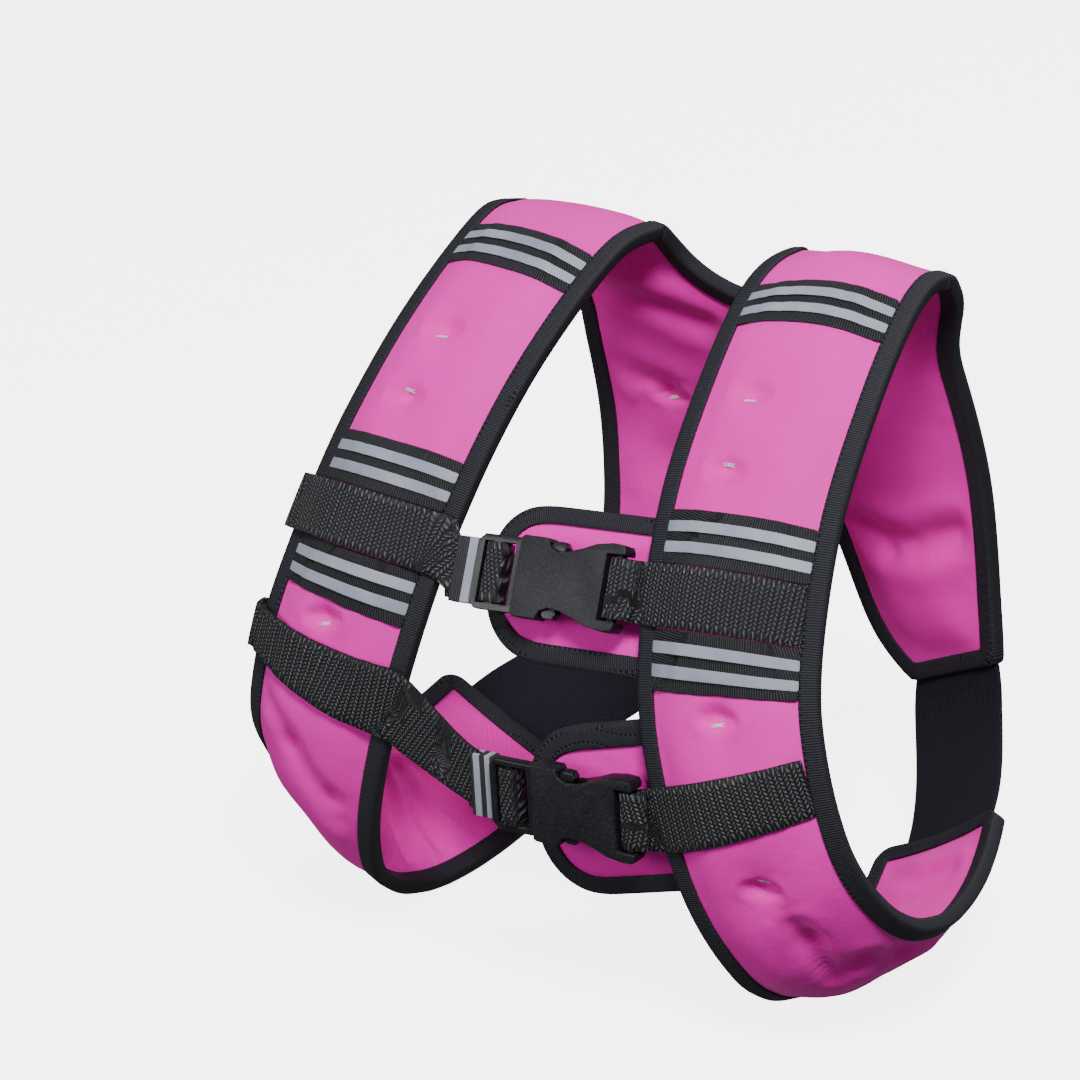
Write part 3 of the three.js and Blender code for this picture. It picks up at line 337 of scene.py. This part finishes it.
def elasticFinish(name, direction):
    look = Finish(name)
    rib = look.waves(direction, elasticLook["rib"]) * 0.5 + 0.5
    lint = look.speckle(900, 3.0)
    look.shader.inputs["Specular IOR Level"].default_value = elasticLook["gloss"]
    # the base colour paints highlights on the rib tops
    return look.finish(
        Base_Color=look.blend(rib * (lint + 0.3), elasticLook["dark"], elasticLook["light"]),
        Roughness=0.85 - rib * 0.1, Normal=look.relief(rib + lint * 0.4, elasticLook["depth"], 0.9))


def silverColour(look):
    smear = look.speckle(35, 4.0)
    return smear, look.blend(smear * 1.6 - 0.3, stripeLook["dark"], stripeLook["light"])


def silverFinish():
    look = Finish("silverStripe")
    beads = look.node("TexVoronoi", {"feature": "F1"}, {"Vector": look.place(), "Scale": stripeLook["beads"]})
    smear, colour = silverColour(look)
    return look.finish(
        Base_Color=colour, Roughness=0.42 + smear * 0.2,
        Normal=look.relief(beads + look.speckle(90, 3.0) * 2.0, stripeLook["depth"], 0.5))


def keeperFinish(name, middle, direction, spans):  # black tape with light bands round it
    look = Finish(name)
    place = look.along(direction) - Vector(middle).dot(direction)
    band = None
    for low, high in spans:
        mask = place.over(low) * (1 - place.over(high))
        band = mask if band is None else band + mask
    smear, light = silverColour(look)
    lint = look.speckle(1300, 3.0)
    rib = look.waves(direction, tapeLook["rib"]) * 0.5 + 0.5
    # painted highlights on the rib tops of the black tape; the light bands are the stripes' own colour
    dark = look.blend(rib * lint, tapeLook["dark"], tapeLook["light"])
    return look.finish(
        Base_Color=look.blend(band, dark, light), Roughness=0.7 - band * 0.2,
        Normal=look.relief(rib * (1 - band) + lint * 0.3, tapeLook["depth"], 0.8))


def plasticFinish(name, roughness, grainDepth):
    look = Finish(name)
    grain = look.speckle(plasticLook["grain"], 3.0)
    smudge = look.speckle(70, 4.0)
    # light specks on the grain: partly grain tone, partly painted glints
    colour = look.blend(grain * 2.4 - 1.1 + smudge * 0.2, plasticLook["dark"], plasticLook["light"])
    look.shader.inputs["Specular IOR Level"].default_value = plasticLook["gloss"]
    return look.finish(
        Base_Color=colour, Roughness=roughness + smudge * 0.2,
        Normal=look.relief(grain, grainDepth, 0.9))


def netFinish():
    look = Finish("blackNet")
    period = netLook["threadGap"] * 2
    first = look.waves((0.5, 0, 0.87), period).size()
    second = look.waves((-0.5, 0, 0.87), period).size()
    third = look.waves((1, 0, 0), period).size()
    holes = first.over(netLook["slanted"]) * second.over(netLook["slanted"]) * third.over(netLook["upright"])
    lint = look.speckle(1200, 2.0)
    return look.finish(
        Base_Color=look.blend(lint, netLook["dark"], netLook["light"]),
        Roughness=0.7 + lint * 0.15, Alpha=1 - holes,
        Normal=look.relief(lint, 0.2 * mm, 0.6))


def threadFinish():
    look = Finish("whiteThread")
    twist = look.waves((0.7, 0.2, 0.7), threadLook["twist"])
    colour = look.blend(twist * 0.5 + 0.5, threadLook["dark"], threadLook["light"])
    return look.finish(Base_Color=colour, Roughness=0.6 + twist * 0.1, Normal=look.relief(twist, 0.1 * mm))


finishes = {
    "neoprene": neopreneFinish(),
    "binding": bindingFinish(),
    "tape": tapeFinish(),
    "silver": silverFinish(),
    "webbing": webbingFinish(),
    "elasticLeft": elasticFinish("blackElasticLeft", (0.86, -0.22, 0.46)),
    "elasticRight": elasticFinish("blackElasticRight", (-0.86, -0.22, 0.46)),
    "plastic": plasticFinish("grainedPlastic", 0.34, 0.25 * mm),
    "latchPlastic": plasticFinish("smoothPlastic", 0.22, 0.08 * mm),
    "net": netFinish(),
    "thread": threadFinish(),
}
print("finishes ready")


# modelling helpers
copySettings = {
    "merge": 0.02 * mm, "flat": 2, "faceTurn": 60, "shapeTurn": 75, "sharp": 50,  # turns in degrees
}


def selectNothing():
    for other in bpy.context.selected_objects:
        other.select_set(False)


def onlyThis(piece):
    selectNothing()
    piece.select_set(True)
    bpy.context.view_layer.objects.active = piece


def copyOf(node, name, dissolve=False):  # a fresh piece with the outline of a CAD node
    piece = bpy.data.objects.new(name, nodes[node].data.copy())
    bpy.context.scene.collection.objects.link(piece)
    piece.data.materials.clear()
    onlyThis(piece)
    if piece.data.has_custom_normals:
        bpy.ops.mesh.customdata_custom_splitnormals_clear()
    bpy.ops.object.mode_set(mode="EDIT")
    bpy.ops.mesh.select_all(action="SELECT")
    bpy.ops.mesh.remove_doubles(threshold=copySettings["merge"])
    if dissolve:
        bpy.ops.mesh.dissolve_limited(angle_limit=math.radians(copySettings["flat"]))
    else:
        bpy.ops.mesh.tris_convert_to_quads(
            face_threshold=math.radians(copySettings["faceTurn"]),
            shape_threshold=math.radians(copySettings["shapeTurn"]))
    bpy.ops.mesh.normals_make_consistent(inside=False)
    bpy.ops.object.mode_set(mode="OBJECT")
    return piece


def finishWith(piece, modifierType, **settings):
    onlyThis(piece)
    step = piece.modifiers.new(modifierType.lower(), modifierType)
    for key, value in settings.items():
        setattr(step, key, value)
    bpy.ops.object.modifier_apply(modifier=step.name)


def rounded(piece, levels, crease):  # smooth, with its sharp edges held
    mesh = piece.data
    faceNormals = {}
    for face in mesh.polygons:
        for key in face.edge_keys:
            faceNormals.setdefault(key, []).append(face.normal)
    held = mesh.attributes.new("crease_edge", "FLOAT", "EDGE")
    for edge in mesh.edges:
        pair = faceNormals.get(edge.key, [])
        if len(pair) == 2 and pair[0].angle(pair[1], 0) > math.radians(copySettings["sharp"]):
            held.data[edge.index].value = crease
    finishWith(piece, "SUBSURF", levels=levels, render_levels=levels)
    smooth(piece)


def smooth(piece, angle=None):
    onlyThis(piece)
    if angle is None:
        bpy.ops.object.shade_smooth()
    else:
        bpy.ops.object.shade_smooth_by_angle(angle=math.radians(angle))


def treeOf(piece):
    points = [vertex.co.copy() for vertex in piece.data.vertices]
    return BVHTree.FromPolygons(points, [list(face.vertices) for face in piece.data.polygons])


def settle(piece, cadTree, softTree, full=5 * mm, fade=8 * mm):  # keeps its height over the soft pad
    for vertex in piece.data.vertices:
        spot, normal, _, far = cadTree.find_nearest(vertex.co)
        if far > full + fade:
            continue
        height = (vertex.co - spot).dot(normal)
        softSpot, softNormal, _, _ = softTree.find_nearest(vertex.co)
        share = min(1, max(0, (full + fade - far) / fade))
        vertex.co = vertex.co.lerp(softSpot + softNormal * height, share)


def pointsTree(points):
    tree = KDTree(len(points))
    for index, point in enumerate(points):
        tree.insert(point, index)
    tree.balance()
    return tree


runSettings = {  # how a strip's middle line is followed
    "step": 4 * mm, "longest": 500, "least": 0.35, "loopAfter": 6, "missed": 0.08,
    "cover": 1.8, "smoothings": 3,
}


def walk(tree, start, heading, step, reach):  # follows a strip from one middle point to the next
    path, here = [], start
    while len(path) < runSettings["longest"]:
        near = [found[0] for found in tree.find_range(here + heading * step, reach)]
        if not near:
            break
        middle = sum(near, Vector()) / len(near)
        move = middle - here
        if move.dot(heading) < step * runSettings["least"]:
            break
        heading = (heading + move.normalized()).normalized()
        here = middle
        path.append(here)
        if len(path) > runSettings["loopAfter"] and (here - start).length < step:
            break
    return path


def middleLine(tree, first, step, reach):
    near = [found[0] for found in tree.find_range(first, reach)]
    start = sum(near, Vector()) / len(near)
    heading = (max(near, key=lambda point: (point - start).length) - start).normalized()
    forward = walk(tree, start, heading, step, reach)
    path = [start]
    if len(forward) > 3:  # walked back from its far end, where the heading is sure
        back = (forward[-4] - forward[-1]).normalized()
        path = [forward[-1]] + walk(tree, forward[-1], back, step, reach)
    if len(path) < len(forward):
        path = walk(tree, start, -heading, step, reach)[::-1] + [start] + forward
    for _ in range(runSettings["smoothings"] if len(path) > 2 else 0):
        trios = zip(path, path[1:], path[2:])
        path = path[:1] + [(before + knot * 2 + after) / 4 for before, knot, after in trios] + path[-1:]
    return path, heading


def markRun(piece, reach, step=runSettings["step"]):  # notes how far along and across each point lies
    mesh = piece.data
    points = [vertex.co.copy() for vertex in mesh.vertices]
    tree = pointsTree(points)
    left = set(range(len(points)))
    knots, tangents, lengths = [], [], []
    while len(left) > runSettings["missed"] * len(points):
        first = min(left)
        path, heading = middleLine(tree, points[first], step, reach)
        length = 0
        for index, knot in enumerate(path):
            ahead, behind = path[min(index + 1, len(path) - 1)], path[max(index - 1, 0)]
            length += (knot - path[index - 1]).length if index else 0
            knots.append(knot)
            tangents.append((ahead - behind).normalized() if len(path) > 1 else heading)
            lengths.append(length)
            left.difference_update(found[1] for found in tree.find_range(knot, reach * runSettings["cover"]))
        left.discard(first)
    pathTree = pointsTree(knots)
    run = mesh.attributes.new("run", "FLOAT_VECTOR", "POINT")
    for vertex in mesh.vertices:
        knot, index, _ = pathTree.find(vertex.co)
        offset, tangent = vertex.co - knot, tangents[index]
        across = vertex.normal.cross(tangent)
        run.data[vertex.index].vector = (lengths[index] + offset.dot(tangent), offset.dot(across), 0)


def tuck(piece, bindingTree, reach=2.6 * mm, sink=0.5 * mm, beyond=-1):  # takes a sewn end under a binding
    for vertex in piece.data.vertices:
        spot, _, _, far = bindingTree.find_nearest(vertex.co)
        if 0 < far < reach and vertex.co.x > beyond:
            vertex.co = spot + (spot - vertex.co).normalized() * sink


def put(piece, node, finish):
    piece.data.materials.append(finishes[finish])
    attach(piece, "root")
    if node:
        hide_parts(node)


# padded panels
padSettings = {
    "levels": 2, "crease": 0.9, "fill": 0.7,
    "pressure": 3.0, "cap": 2.2 * mm, "pinWithin": 1.5 * mm, "tackPin": 6 * mm, "frames": 18, "quality": 5,
    "tackDepth": 5.0 * mm, "tackReach": 6.3 * mm, "hollowDepth": 2.5 * mm, "hollowReach": 13.5 * mm,
    "puckerDepth": 0.4 * mm, "puckerReach": 11 * mm, "puckerScale": 85, "wrinkleFade": 7 * mm,
    "lumpDepth": 1.8 * mm, "lumpScale": 24,
    "creaseStep": 4, "creaseSwell": 0.35, "swellPlace": 1.8, "creaseFade": 10 * mm,
}
tackFold = {"depth": 2.2, "reach": 3.5, "wide": 13, "slope": 2}  # mm, then pixels
tackPixels = {  # where white bar tacks and plain dimples show in the photograph
    "front_panel_left": {
        "tacks": [(751, 391), (724, 468), (716, 720), (761, 893)],
        "dimples": [(812, 945), (866, 965), (905, 958)],
    },
    "front_panel_right": {"tacks": [(443, 326), (403, 394), (322, 618)], "dimples": [(290, 745), (330, 800)]},
    "back_panel": {"tacks": [(671, 395)], "dimples": [(885, 553)]},
}
creasePixels = {  # soft folds seen in the photograph: depth and reach in mm, then the points of the line
    "front_panel_left": [
        (2.6, 6.5, [(797, 930), (812, 950), (835, 975)]), (2.6, 6.5, [(852, 968), (868, 958), (885, 968)]),
        (2.6, 6.5, [(899, 950), (915, 962)]), (1.8, 7, [(885, 872), (915, 880), (948, 868)])],
    "front_panel_right": [
        (4.6, 6, [(386, 775), (394, 820), (412, 858)]), (4.6, 6, [(402, 768), (424, 815), (448, 852)]),
        (4.6, 6, [(420, 765), (446, 800), (480, 828)]), (1.6, 8, [(268, 700), (300, 760), (335, 820)])],
    "back_panel": [
        (5.5, 10, [(832, 508), (858, 524), (882, 540), (912, 545), (962, 534)]),
        (3.4, 9, [(575, 282), (610, 293), (650, 305), (700, 325)]),
        (2.6, 9, [(598, 345), (630, 372), (671, 390)])],
}
bindingNodes = {
    "front_panel_left": ["front_binding_left"], "front_panel_right": ["front_binding_right"],
    "back_panel": ["armhole_binding", "neck_binding"],
    "buckle_pad_upper": ["buckle_pad_binding_upper"], "buckle_pad_lower": ["buckle_pad_binding_lower"],
}


def nearestBinding(node):
    trees = [treeOf(nodes[name]) for name in bindingNodes[node]]
    return lambda point: min(tree.find_nearest(point)[3] for tree in trees)


def press(piece, spots, depth, reach):  # pulls the face in round each spot
    for vertex in piece.data.vertices:
        for spot, normal in spots:
            far = (vertex.co - spot).length
            if far < 3 * reach:
                vertex.co -= normal * depth * math.exp(-((far / reach) ** 2))


def inflate(piece, pinned):
    group = piece.vertex_groups.new(name="held")
    for vertex in piece.data.vertices:
        group.add([vertex.index], 1.0 if pinned(vertex.co) else 0.0, "REPLACE")
    start = [vertex.co.copy() for vertex in piece.data.vertices]
    onlyThis(piece)
    cloth = piece.modifiers.new("cloth", "CLOTH")
    cloth.settings.quality = padSettings["quality"]
    cloth.settings.use_pressure = True
    cloth.settings.uniform_pressure_force = padSettings["pressure"]
    cloth.settings.effector_weights.gravity = 0
    cloth.settings.vertex_group_mass = "held"
    for step in range(1, padSettings["frames"] + 1):
        bpy.context.scene.frame_set(step)
    shaped = piece.evaluated_get(bpy.context.evaluated_depsgraph_get()).data
    moved = [vertex.co.copy() for vertex in shaped.vertices]
    piece.modifiers.remove(cloth)
    piece.vertex_groups.clear()
    for vertex, first, last in zip(piece.data.vertices, start, moved):
        shift = last - first
        far = shift.length
        if far > padSettings["cap"]:
            shift *= padSettings["cap"] / far
        vertex.co = first + shift
    bpy.context.scene.frame_set(1)


def wrinkle(piece, rimDistance):
    moves = []
    for vertex in piece.data.vertices:
        far = rimDistance(vertex.co)
        near = math.exp(-((far / padSettings["puckerReach"]) ** 2))
        inside = min(1, far / padSettings["wrinkleFade"])
        pucker = noise.noise(vertex.co * padSettings["puckerScale"]) * padSettings["puckerDepth"] * near
        lump = noise.noise(vertex.co * padSettings["lumpScale"]) * padSettings["lumpDepth"] * (1 - near)
        moves.append(vertex.normal * (pucker + lump) * inside)
    for vertex, move in zip(piece.data.vertices, moves):
        vertex.co += move


def hitsOn(tree, pixels):
    found = []
    for pixel in pixels:
        spot, normal, _, _ = tree.ray_cast(cameraPlace, sightLine(pixel))
        if spot:
            found.append((spot, normal))
    return found


def pixelsAlong(first, last):
    steps = max(1, int(math.dist(first, last) / padSettings["creaseStep"]))
    shares = [step / steps for step in range(steps + 1)]
    return [[a + (b - a) * share for a, b in zip(first, last)] for share in shares]


def foldIn(piece, tree, lines, rimDistance):  # sinks soft creases with a swell on each side
    marks, settings = [], []
    for depth, reach, pixels in lines:
        for first, last in zip(pixels, pixels[1:]):
            for spot, normal in hitsOn(tree, pixelsAlong(first, last)):
                marks.append(spot)
                settings.append((normal, depth * mm, reach * mm))
    if not marks:
        return
    markTree = pointsTree(marks)
    for vertex in piece.data.vertices:
        _, index, far = markTree.find(vertex.co)
        normal, depth, reach = settings[index]
        if far < 4 * reach and vertex.normal.dot(normal) > 0.2:
            swell = padSettings["creaseSwell"] * math.exp(-((far / reach - padSettings["swellPlace"]) ** 2))
            sunk = math.exp(-((far / reach) ** 2)) - swell
            vertex.co -= normal * depth * sunk * min(1, rimDistance(vertex.co) / padSettings["creaseFade"])


softPads = {}
tackSpots = []


def paddedPanel(node, name):
    piece = copyOf(node, name)
    rounded(piece, 1, padSettings["crease"])
    marks = tackPixels.get(node, {"tacks": [], "dimples": []})
    tree = treeOf(piece)
    tacks, dimples = hitsOn(tree, marks["tacks"]), hitsOn(tree, marks["dimples"])
    rimDistance = nearestBinding(node)
    press(piece, tacks + dimples, padSettings["hollowDepth"], padSettings["hollowReach"])
    spots = [spot for spot, _ in tacks + dimples]
    inflate(piece, lambda point: rimDistance(point) < padSettings["pinWithin"]
            or any((point - spot).length < padSettings["tackPin"] for spot in spots))
    finishWith(piece, "SUBSURF", levels=padSettings["levels"], render_levels=padSettings["levels"])
    wide, slope = tackFold["wide"], tackFold["slope"]
    pinches = [
        (tackFold["depth"], tackFold["reach"], [(x - wide, y - slope), (x, y), (x + wide, y + slope)])
        for x, y in marks["tacks"]]
    foldIn(piece, tree, creasePixels.get(node, []) + pinches, rimDistance)
    press(piece, tacks + dimples, padSettings["tackDepth"], padSettings["tackReach"])
    wrinkle(piece, rimDistance)
    smooth(piece)
    softTree = treeOf(piece)
    softPads[node] = (treeOf(nodes[node]), softTree)
    for spot, _ in tacks:
        tackSpots.append(softTree.find_nearest(spot)[:2])
    put(piece, node, "neoprene")
    print(name, len(piece.data.polygons), "faces")
    return piece


for side in ("left", "right"):
    paddedPanel(f"front_panel_{side}", f"frontPanel_{side}")
backPiece = paddedPanel("back_panel", "backPanel")
for level in ("upper", "lower"):
    paddedPanel(f"buckle_pad_{level}", f"bucklePad_{level}")
print("padded panels ready")


# bar tacks: slanted white threads, copied to each place
tackSettings = {
    "length": 6.5 * mm, "thread": 0.34 * mm, "strands": 6, "spread": 1.5 * mm, "sides": 8,
    "shift": 0.6 * mm, "stagger": 0.1 * mm, "slant": 9, "bevel": 0.15 * mm, "lift": 0.35 * mm,
}


def tackThread():
    strands = []
    for k in range(tackSettings["strands"]):
        share = k / (tackSettings["strands"] - 1) - 0.5
        shift = tackSettings["shift"] * math.sin(2.3 * k)
        selectNothing()
        bpy.ops.mesh.primitive_cylinder_add(
            vertices=tackSettings["sides"], radius=tackSettings["thread"],
            depth=tackSettings["length"] * (0.75 + 0.25 * math.cos(3 * k)),
            location=(shift, share * tackSettings["spread"], tackSettings["stagger"] * (k % 2)),
            rotation=(0, math.pi / 2, math.radians(tackSettings["slant"] * math.sin(2.1 * k))))
        strand = bpy.context.active_object
        onlyThis(strand)
        bpy.ops.object.transform_apply(location=True, rotation=True, scale=True)
        finishWith(strand, "BEVEL", width=tackSettings["bevel"], segments=2, limit_method="ANGLE")
        strands.append(strand)
    onlyThis(strands[0])
    for strand in strands[1:]:
        strand.select_set(True)
    bpy.ops.object.join()
    return bpy.context.active_object


tackModel = tackThread()
for number, (spot, normal) in enumerate(tackSpots):
    tack = tackModel.copy()
    tack.data = tackModel.data.copy()
    tack.name = f"barTack_{number + 1}"
    bpy.context.scene.collection.objects.link(tack)
    across = (cameraRight - normal * cameraRight.dot(normal)).normalized()
    turned = Matrix((across, normal.cross(across), normal)).transposed().to_4x4()
    tack.data.transform(Matrix.Translation(spot + normal * tackSettings["lift"]) @ turned)
    smooth(tack)
    put(tack, None, "thread")
bpy.data.objects.remove(tackModel)
print(len(tackSpots), "bar tacks")


# bindings folded over the edges
bindingSettings = {"levels": 2, "crease": 0.45, "reach": 9 * mm}
for node in ["front_binding_left", "front_binding_right", "armhole_binding", "neck_binding",
             "buckle_pad_binding_upper", "buckle_pad_binding_lower"]:
    words = node.split("_")
    binding = copyOf(node, words[0] + "".join(word.title() for word in words[1:]))
    rounded(binding, bindingSettings["levels"], bindingSettings["crease"])
    markRun(binding, bindingSettings["reach"])
    put(binding, node, "binding")
print("bindings ready")


# reflective tapes and stripes on the front panels
tapeSettings = {"levels": 3, "crease": 0.9, "reach": 15 * mm}
for side in ("left", "right"):
    cadTree, softTree = softPads[f"front_panel_{side}"]
    bindingTree = treeOf(nodes[f"front_binding_{side}"])
    for level in ("top", "upper", "lower"):
        tapeNode = f"reflective_tape_{side}_{level}"
        tape = copyOf(tapeNode, f"tape_{side}_{level}")
        tuck(tape, bindingTree)
        rounded(tape, tapeSettings["levels"], tapeSettings["crease"])
        markRun(tape, tapeSettings["reach"])
        settle(tape, cadTree, softTree)
        put(tape, tapeNode, "tape")
        for order in ("a", "b"):
            stripeNode = f"silver_stripe_{side}_{level}_{order}"
            stripe = copyOf(stripeNode, f"stripe_{side}_{level}_{order}")
            tuck(stripe, bindingTree)
            rounded(stripe, tapeSettings["levels"], tapeSettings["crease"])
            settle(stripe, cadTree, softTree)
            put(stripe, stripeNode, "silver")
print("tapes ready")


# webbing, elastics and keepers
webbingSettings = {
    "levels": 2, "crease": 0.85, "reach": 24 * mm, "step": 6 * mm, "full": 3 * mm, "fade": 4 * mm,
    "tuckReach": 4.5 * mm, "tuckSink": 0.5 * mm, "tuckEnd": 6 * mm,
}
elasticSettings = {"levels": 3, "crease": 0.85, "width": 72 * mm, "tuckReach": 5 * mm, "tuckSink": 1.2 * mm}
keeperSettings = {"bevel": 0.5 * mm, "segments": 3, "smoothTurn": 40}
keeperBands = {"upper": [(0.0, 0.8)], "lower": [(-0.7, -0.15), (0.3, 0.75)]}  # shares of half its width
for side in ("left", "right"):
    cadTree, softTree = softPads[f"front_panel_{side}"]
    for level in ("upper", "lower"):
        strapNode = f"webbing_{side}_{level}"
        strap = copyOf(strapNode, f"webbing_{side}_{level}")
        if side == "left":
            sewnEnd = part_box(strapNode)[1][0] - webbingSettings["tuckEnd"]
            bindingTree = treeOf(nodes["front_binding_left"])
            tuck(strap, bindingTree, webbingSettings["tuckReach"], webbingSettings["tuckSink"], sewnEnd)
        rounded(strap, webbingSettings["levels"], webbingSettings["crease"])
        markRun(strap, webbingSettings["reach"], webbingSettings["step"])
        settle(strap, cadTree, softTree, webbingSettings["full"], webbingSettings["fade"])
        put(strap, strapNode, "webbing")
    elasticNode = f"side_elastic_{side}"
    elastic = copyOf(elasticNode, f"sideElastic_{side}")
    for holder in ("armhole_binding", f"front_binding_{side}"):
        tuck(elastic, treeOf(nodes[holder]), elasticSettings["tuckReach"], elasticSettings["tuckSink"])
    rounded(elastic, elasticSettings["levels"], elasticSettings["crease"])
    put(elastic, elasticNode, "elastic" + side.title())
for level in ("upper", "lower"):
    keeper = copyOf(f"strap_keeper_{level}", f"strapKeeper_{level}", dissolve=True)
    finishWith(
        keeper, "BEVEL", width=keeperSettings["bevel"], segments=keeperSettings["segments"],
        limit_method="ANGLE")
    smooth(keeper, keeperSettings["smoothTurn"])
    corners = [vertex.co for vertex in keeper.data.vertices]
    middle = sum(corners, Vector()) / len(corners)
    spread = numpy.cov(numpy.array(corners).T)
    tangent = Vector(numpy.linalg.eigh(spread)[1][:, 1])  # its middle extent lies along the strap
    if tangent.x < 0:
        tangent = -tangent
    half = max(abs((corner - middle).dot(tangent)) for corner in corners)
    spans = [(low * half, high * half) for low, high in keeperBands[level]]
    finishes["keeper"] = keeperFinish(f"keeperTape_{level}", middle, tangent, spans)
    put(keeper, f"strap_keeper_{level}", "keeper")
print("straps ready")


# buckles
buckleSettings = {"bevel": 0.9 * mm, "segments": 4, "sharpTurn": 35}
buckleHalves = {"Socket": "plastic", "Latch": "latchPlastic"}  # with their finishes
for level in ("upper", "lower"):
    for half, finish in buckleHalves.items():
        node = f"buckle_{half.lower()}_{level}"
        piece = copyOf(node, f"buckle{half}_{level}", dissolve=True)
        finishWith(piece, "BEVEL", width=buckleSettings["bevel"], segments=buckleSettings["segments"],
                   limit_method="ANGLE", angle_limit=math.radians(buckleSettings["sharpTurn"]))
        smooth(piece, buckleSettings["sharpTurn"])
        put(piece, node, finish)
print("buckles ready")


# net pocket hung over the back
netSettings = {
    "edgeGap": 1.0 * mm, "lift": 1.5 * mm, "bulge": 8 * mm, "reach": 27 * mm, "below": 6 * mm,
    "rearFacing": 0.25,
}
hemSettings = {"levels": 2, "crease": 0.85, "reach": 15 * mm}


def netPocket():
    rimDistance = nearestBinding("back_panel")
    net = backPiece.copy()
    net.data = backPiece.data.copy()
    net.name = "netPocket"
    for key in [key for key in net.keys() if key.startswith("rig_")]:
        del net[key]
    net.parent = None
    net.matrix_world = Matrix.Identity(4)
    bpy.context.scene.collection.objects.link(net)
    net.data.materials.clear()
    hemTree = treeOf(nodes["pocket_hem"])
    keep = set()
    for vertex in net.data.vertices:
        hemSpot = hemTree.find_nearest(vertex.co)[0]
        lowEnough = vertex.co.z < hemSpot.z - netSettings["below"]
        inside = rimDistance(vertex.co) > netSettings["edgeGap"]
        if vertex.normal.y > netSettings["rearFacing"] and lowEnough and inside:
            keep.add(vertex.index)
    onlyThis(net)
    bpy.ops.object.mode_set(mode="EDIT")
    bpy.ops.mesh.select_mode(type="VERT")
    bpy.ops.mesh.select_all(action="DESELECT")
    bpy.ops.object.mode_set(mode="OBJECT")
    for vertex in net.data.vertices:
        vertex.select = vertex.index not in keep
    bpy.ops.object.mode_set(mode="EDIT")
    bpy.ops.mesh.delete(type="VERT")
    bpy.ops.object.mode_set(mode="OBJECT")
    for vertex in net.data.vertices:
        far = min(1, max(0, rimDistance(vertex.co) / netSettings["reach"]))
        rise = netSettings["lift"] + netSettings["bulge"] * (1 - (1 - far) ** 2)
        vertex.co += Vector((0, 1, 0)) * rise
    smooth(net)
    put(net, "net_pocket", "net")
    print("net", len(net.data.polygons), "faces")


netPocket()
hem = copyOf("pocket_hem", "pocketHem")
rounded(hem, hemSettings["levels"], hemSettings["crease"])
markRun(hem, hemSettings["reach"])
put(hem, "pocket_hem", "tape")
print("pocket ready")


# floor and light
studioSettings = {
    "floor": (0.92, 0.92, 0.92, 1), "floorGlow": 4.5, "floorSize": 12, "floorGap": 3 * mm,
    "world": (1, 1, 1, 1), "worldStrength": 0.2, "aim": (0, -0.06, -0.17),
    "lamps": {
        "key": {"place": (1.4, -1.5, 2.6), "size": 0.8, "power": 140},
        "front": {"place": (-1.5, -2.5, 0.9), "size": 1.2, "power": 34},
        "rear": {"place": (0.3, 2.1, 1.8), "size": 1.2, "power": 34},
    },
}


def addFloor():
    selectNothing()
    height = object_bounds()[0][2] - studioSettings["floorGap"]
    bpy.ops.mesh.primitive_plane_add(size=studioSettings["floorSize"], location=(0, 0, height))
    floor = bpy.context.active_object
    floor.name = "floor"
    look = Finish("paleFloor")
    look.shader.inputs["Emission Strength"].default_value = studioSettings["floorGlow"]
    floor.data.materials.append(look.finish(
        Base_Color=studioSettings["floor"], Roughness=0.9, Emission_Color=(1, 1, 1, 1)))
    floor.visible_diffuse = False
    floor.visible_glossy = False


def addLamps():
    for name, lamp in studioSettings["lamps"].items():
        data = bpy.data.lights.new(name, "AREA")
        data.energy = lamp["power"]
        data.size = lamp["size"]
        light = bpy.data.objects.new(name, data)
        light.location = lamp["place"]
        aim = Vector(studioSettings["aim"]) - Vector(lamp["place"])
        light.rotation_euler = aim.to_track_quat("-Z", "Y").to_euler()
        bpy.context.scene.collection.objects.link(light)
    world = bpy.data.worlds.new("studio")
    bpy.context.scene.world = world
    world.use_nodes = True
    world.node_tree.nodes["Background"].inputs[0].default_value = studioSettings["world"]
    world.node_tree.nodes["Background"].inputs[1].default_value = studioSettings["worldStrength"]


addFloor()
addLamps()
print("scene ready")
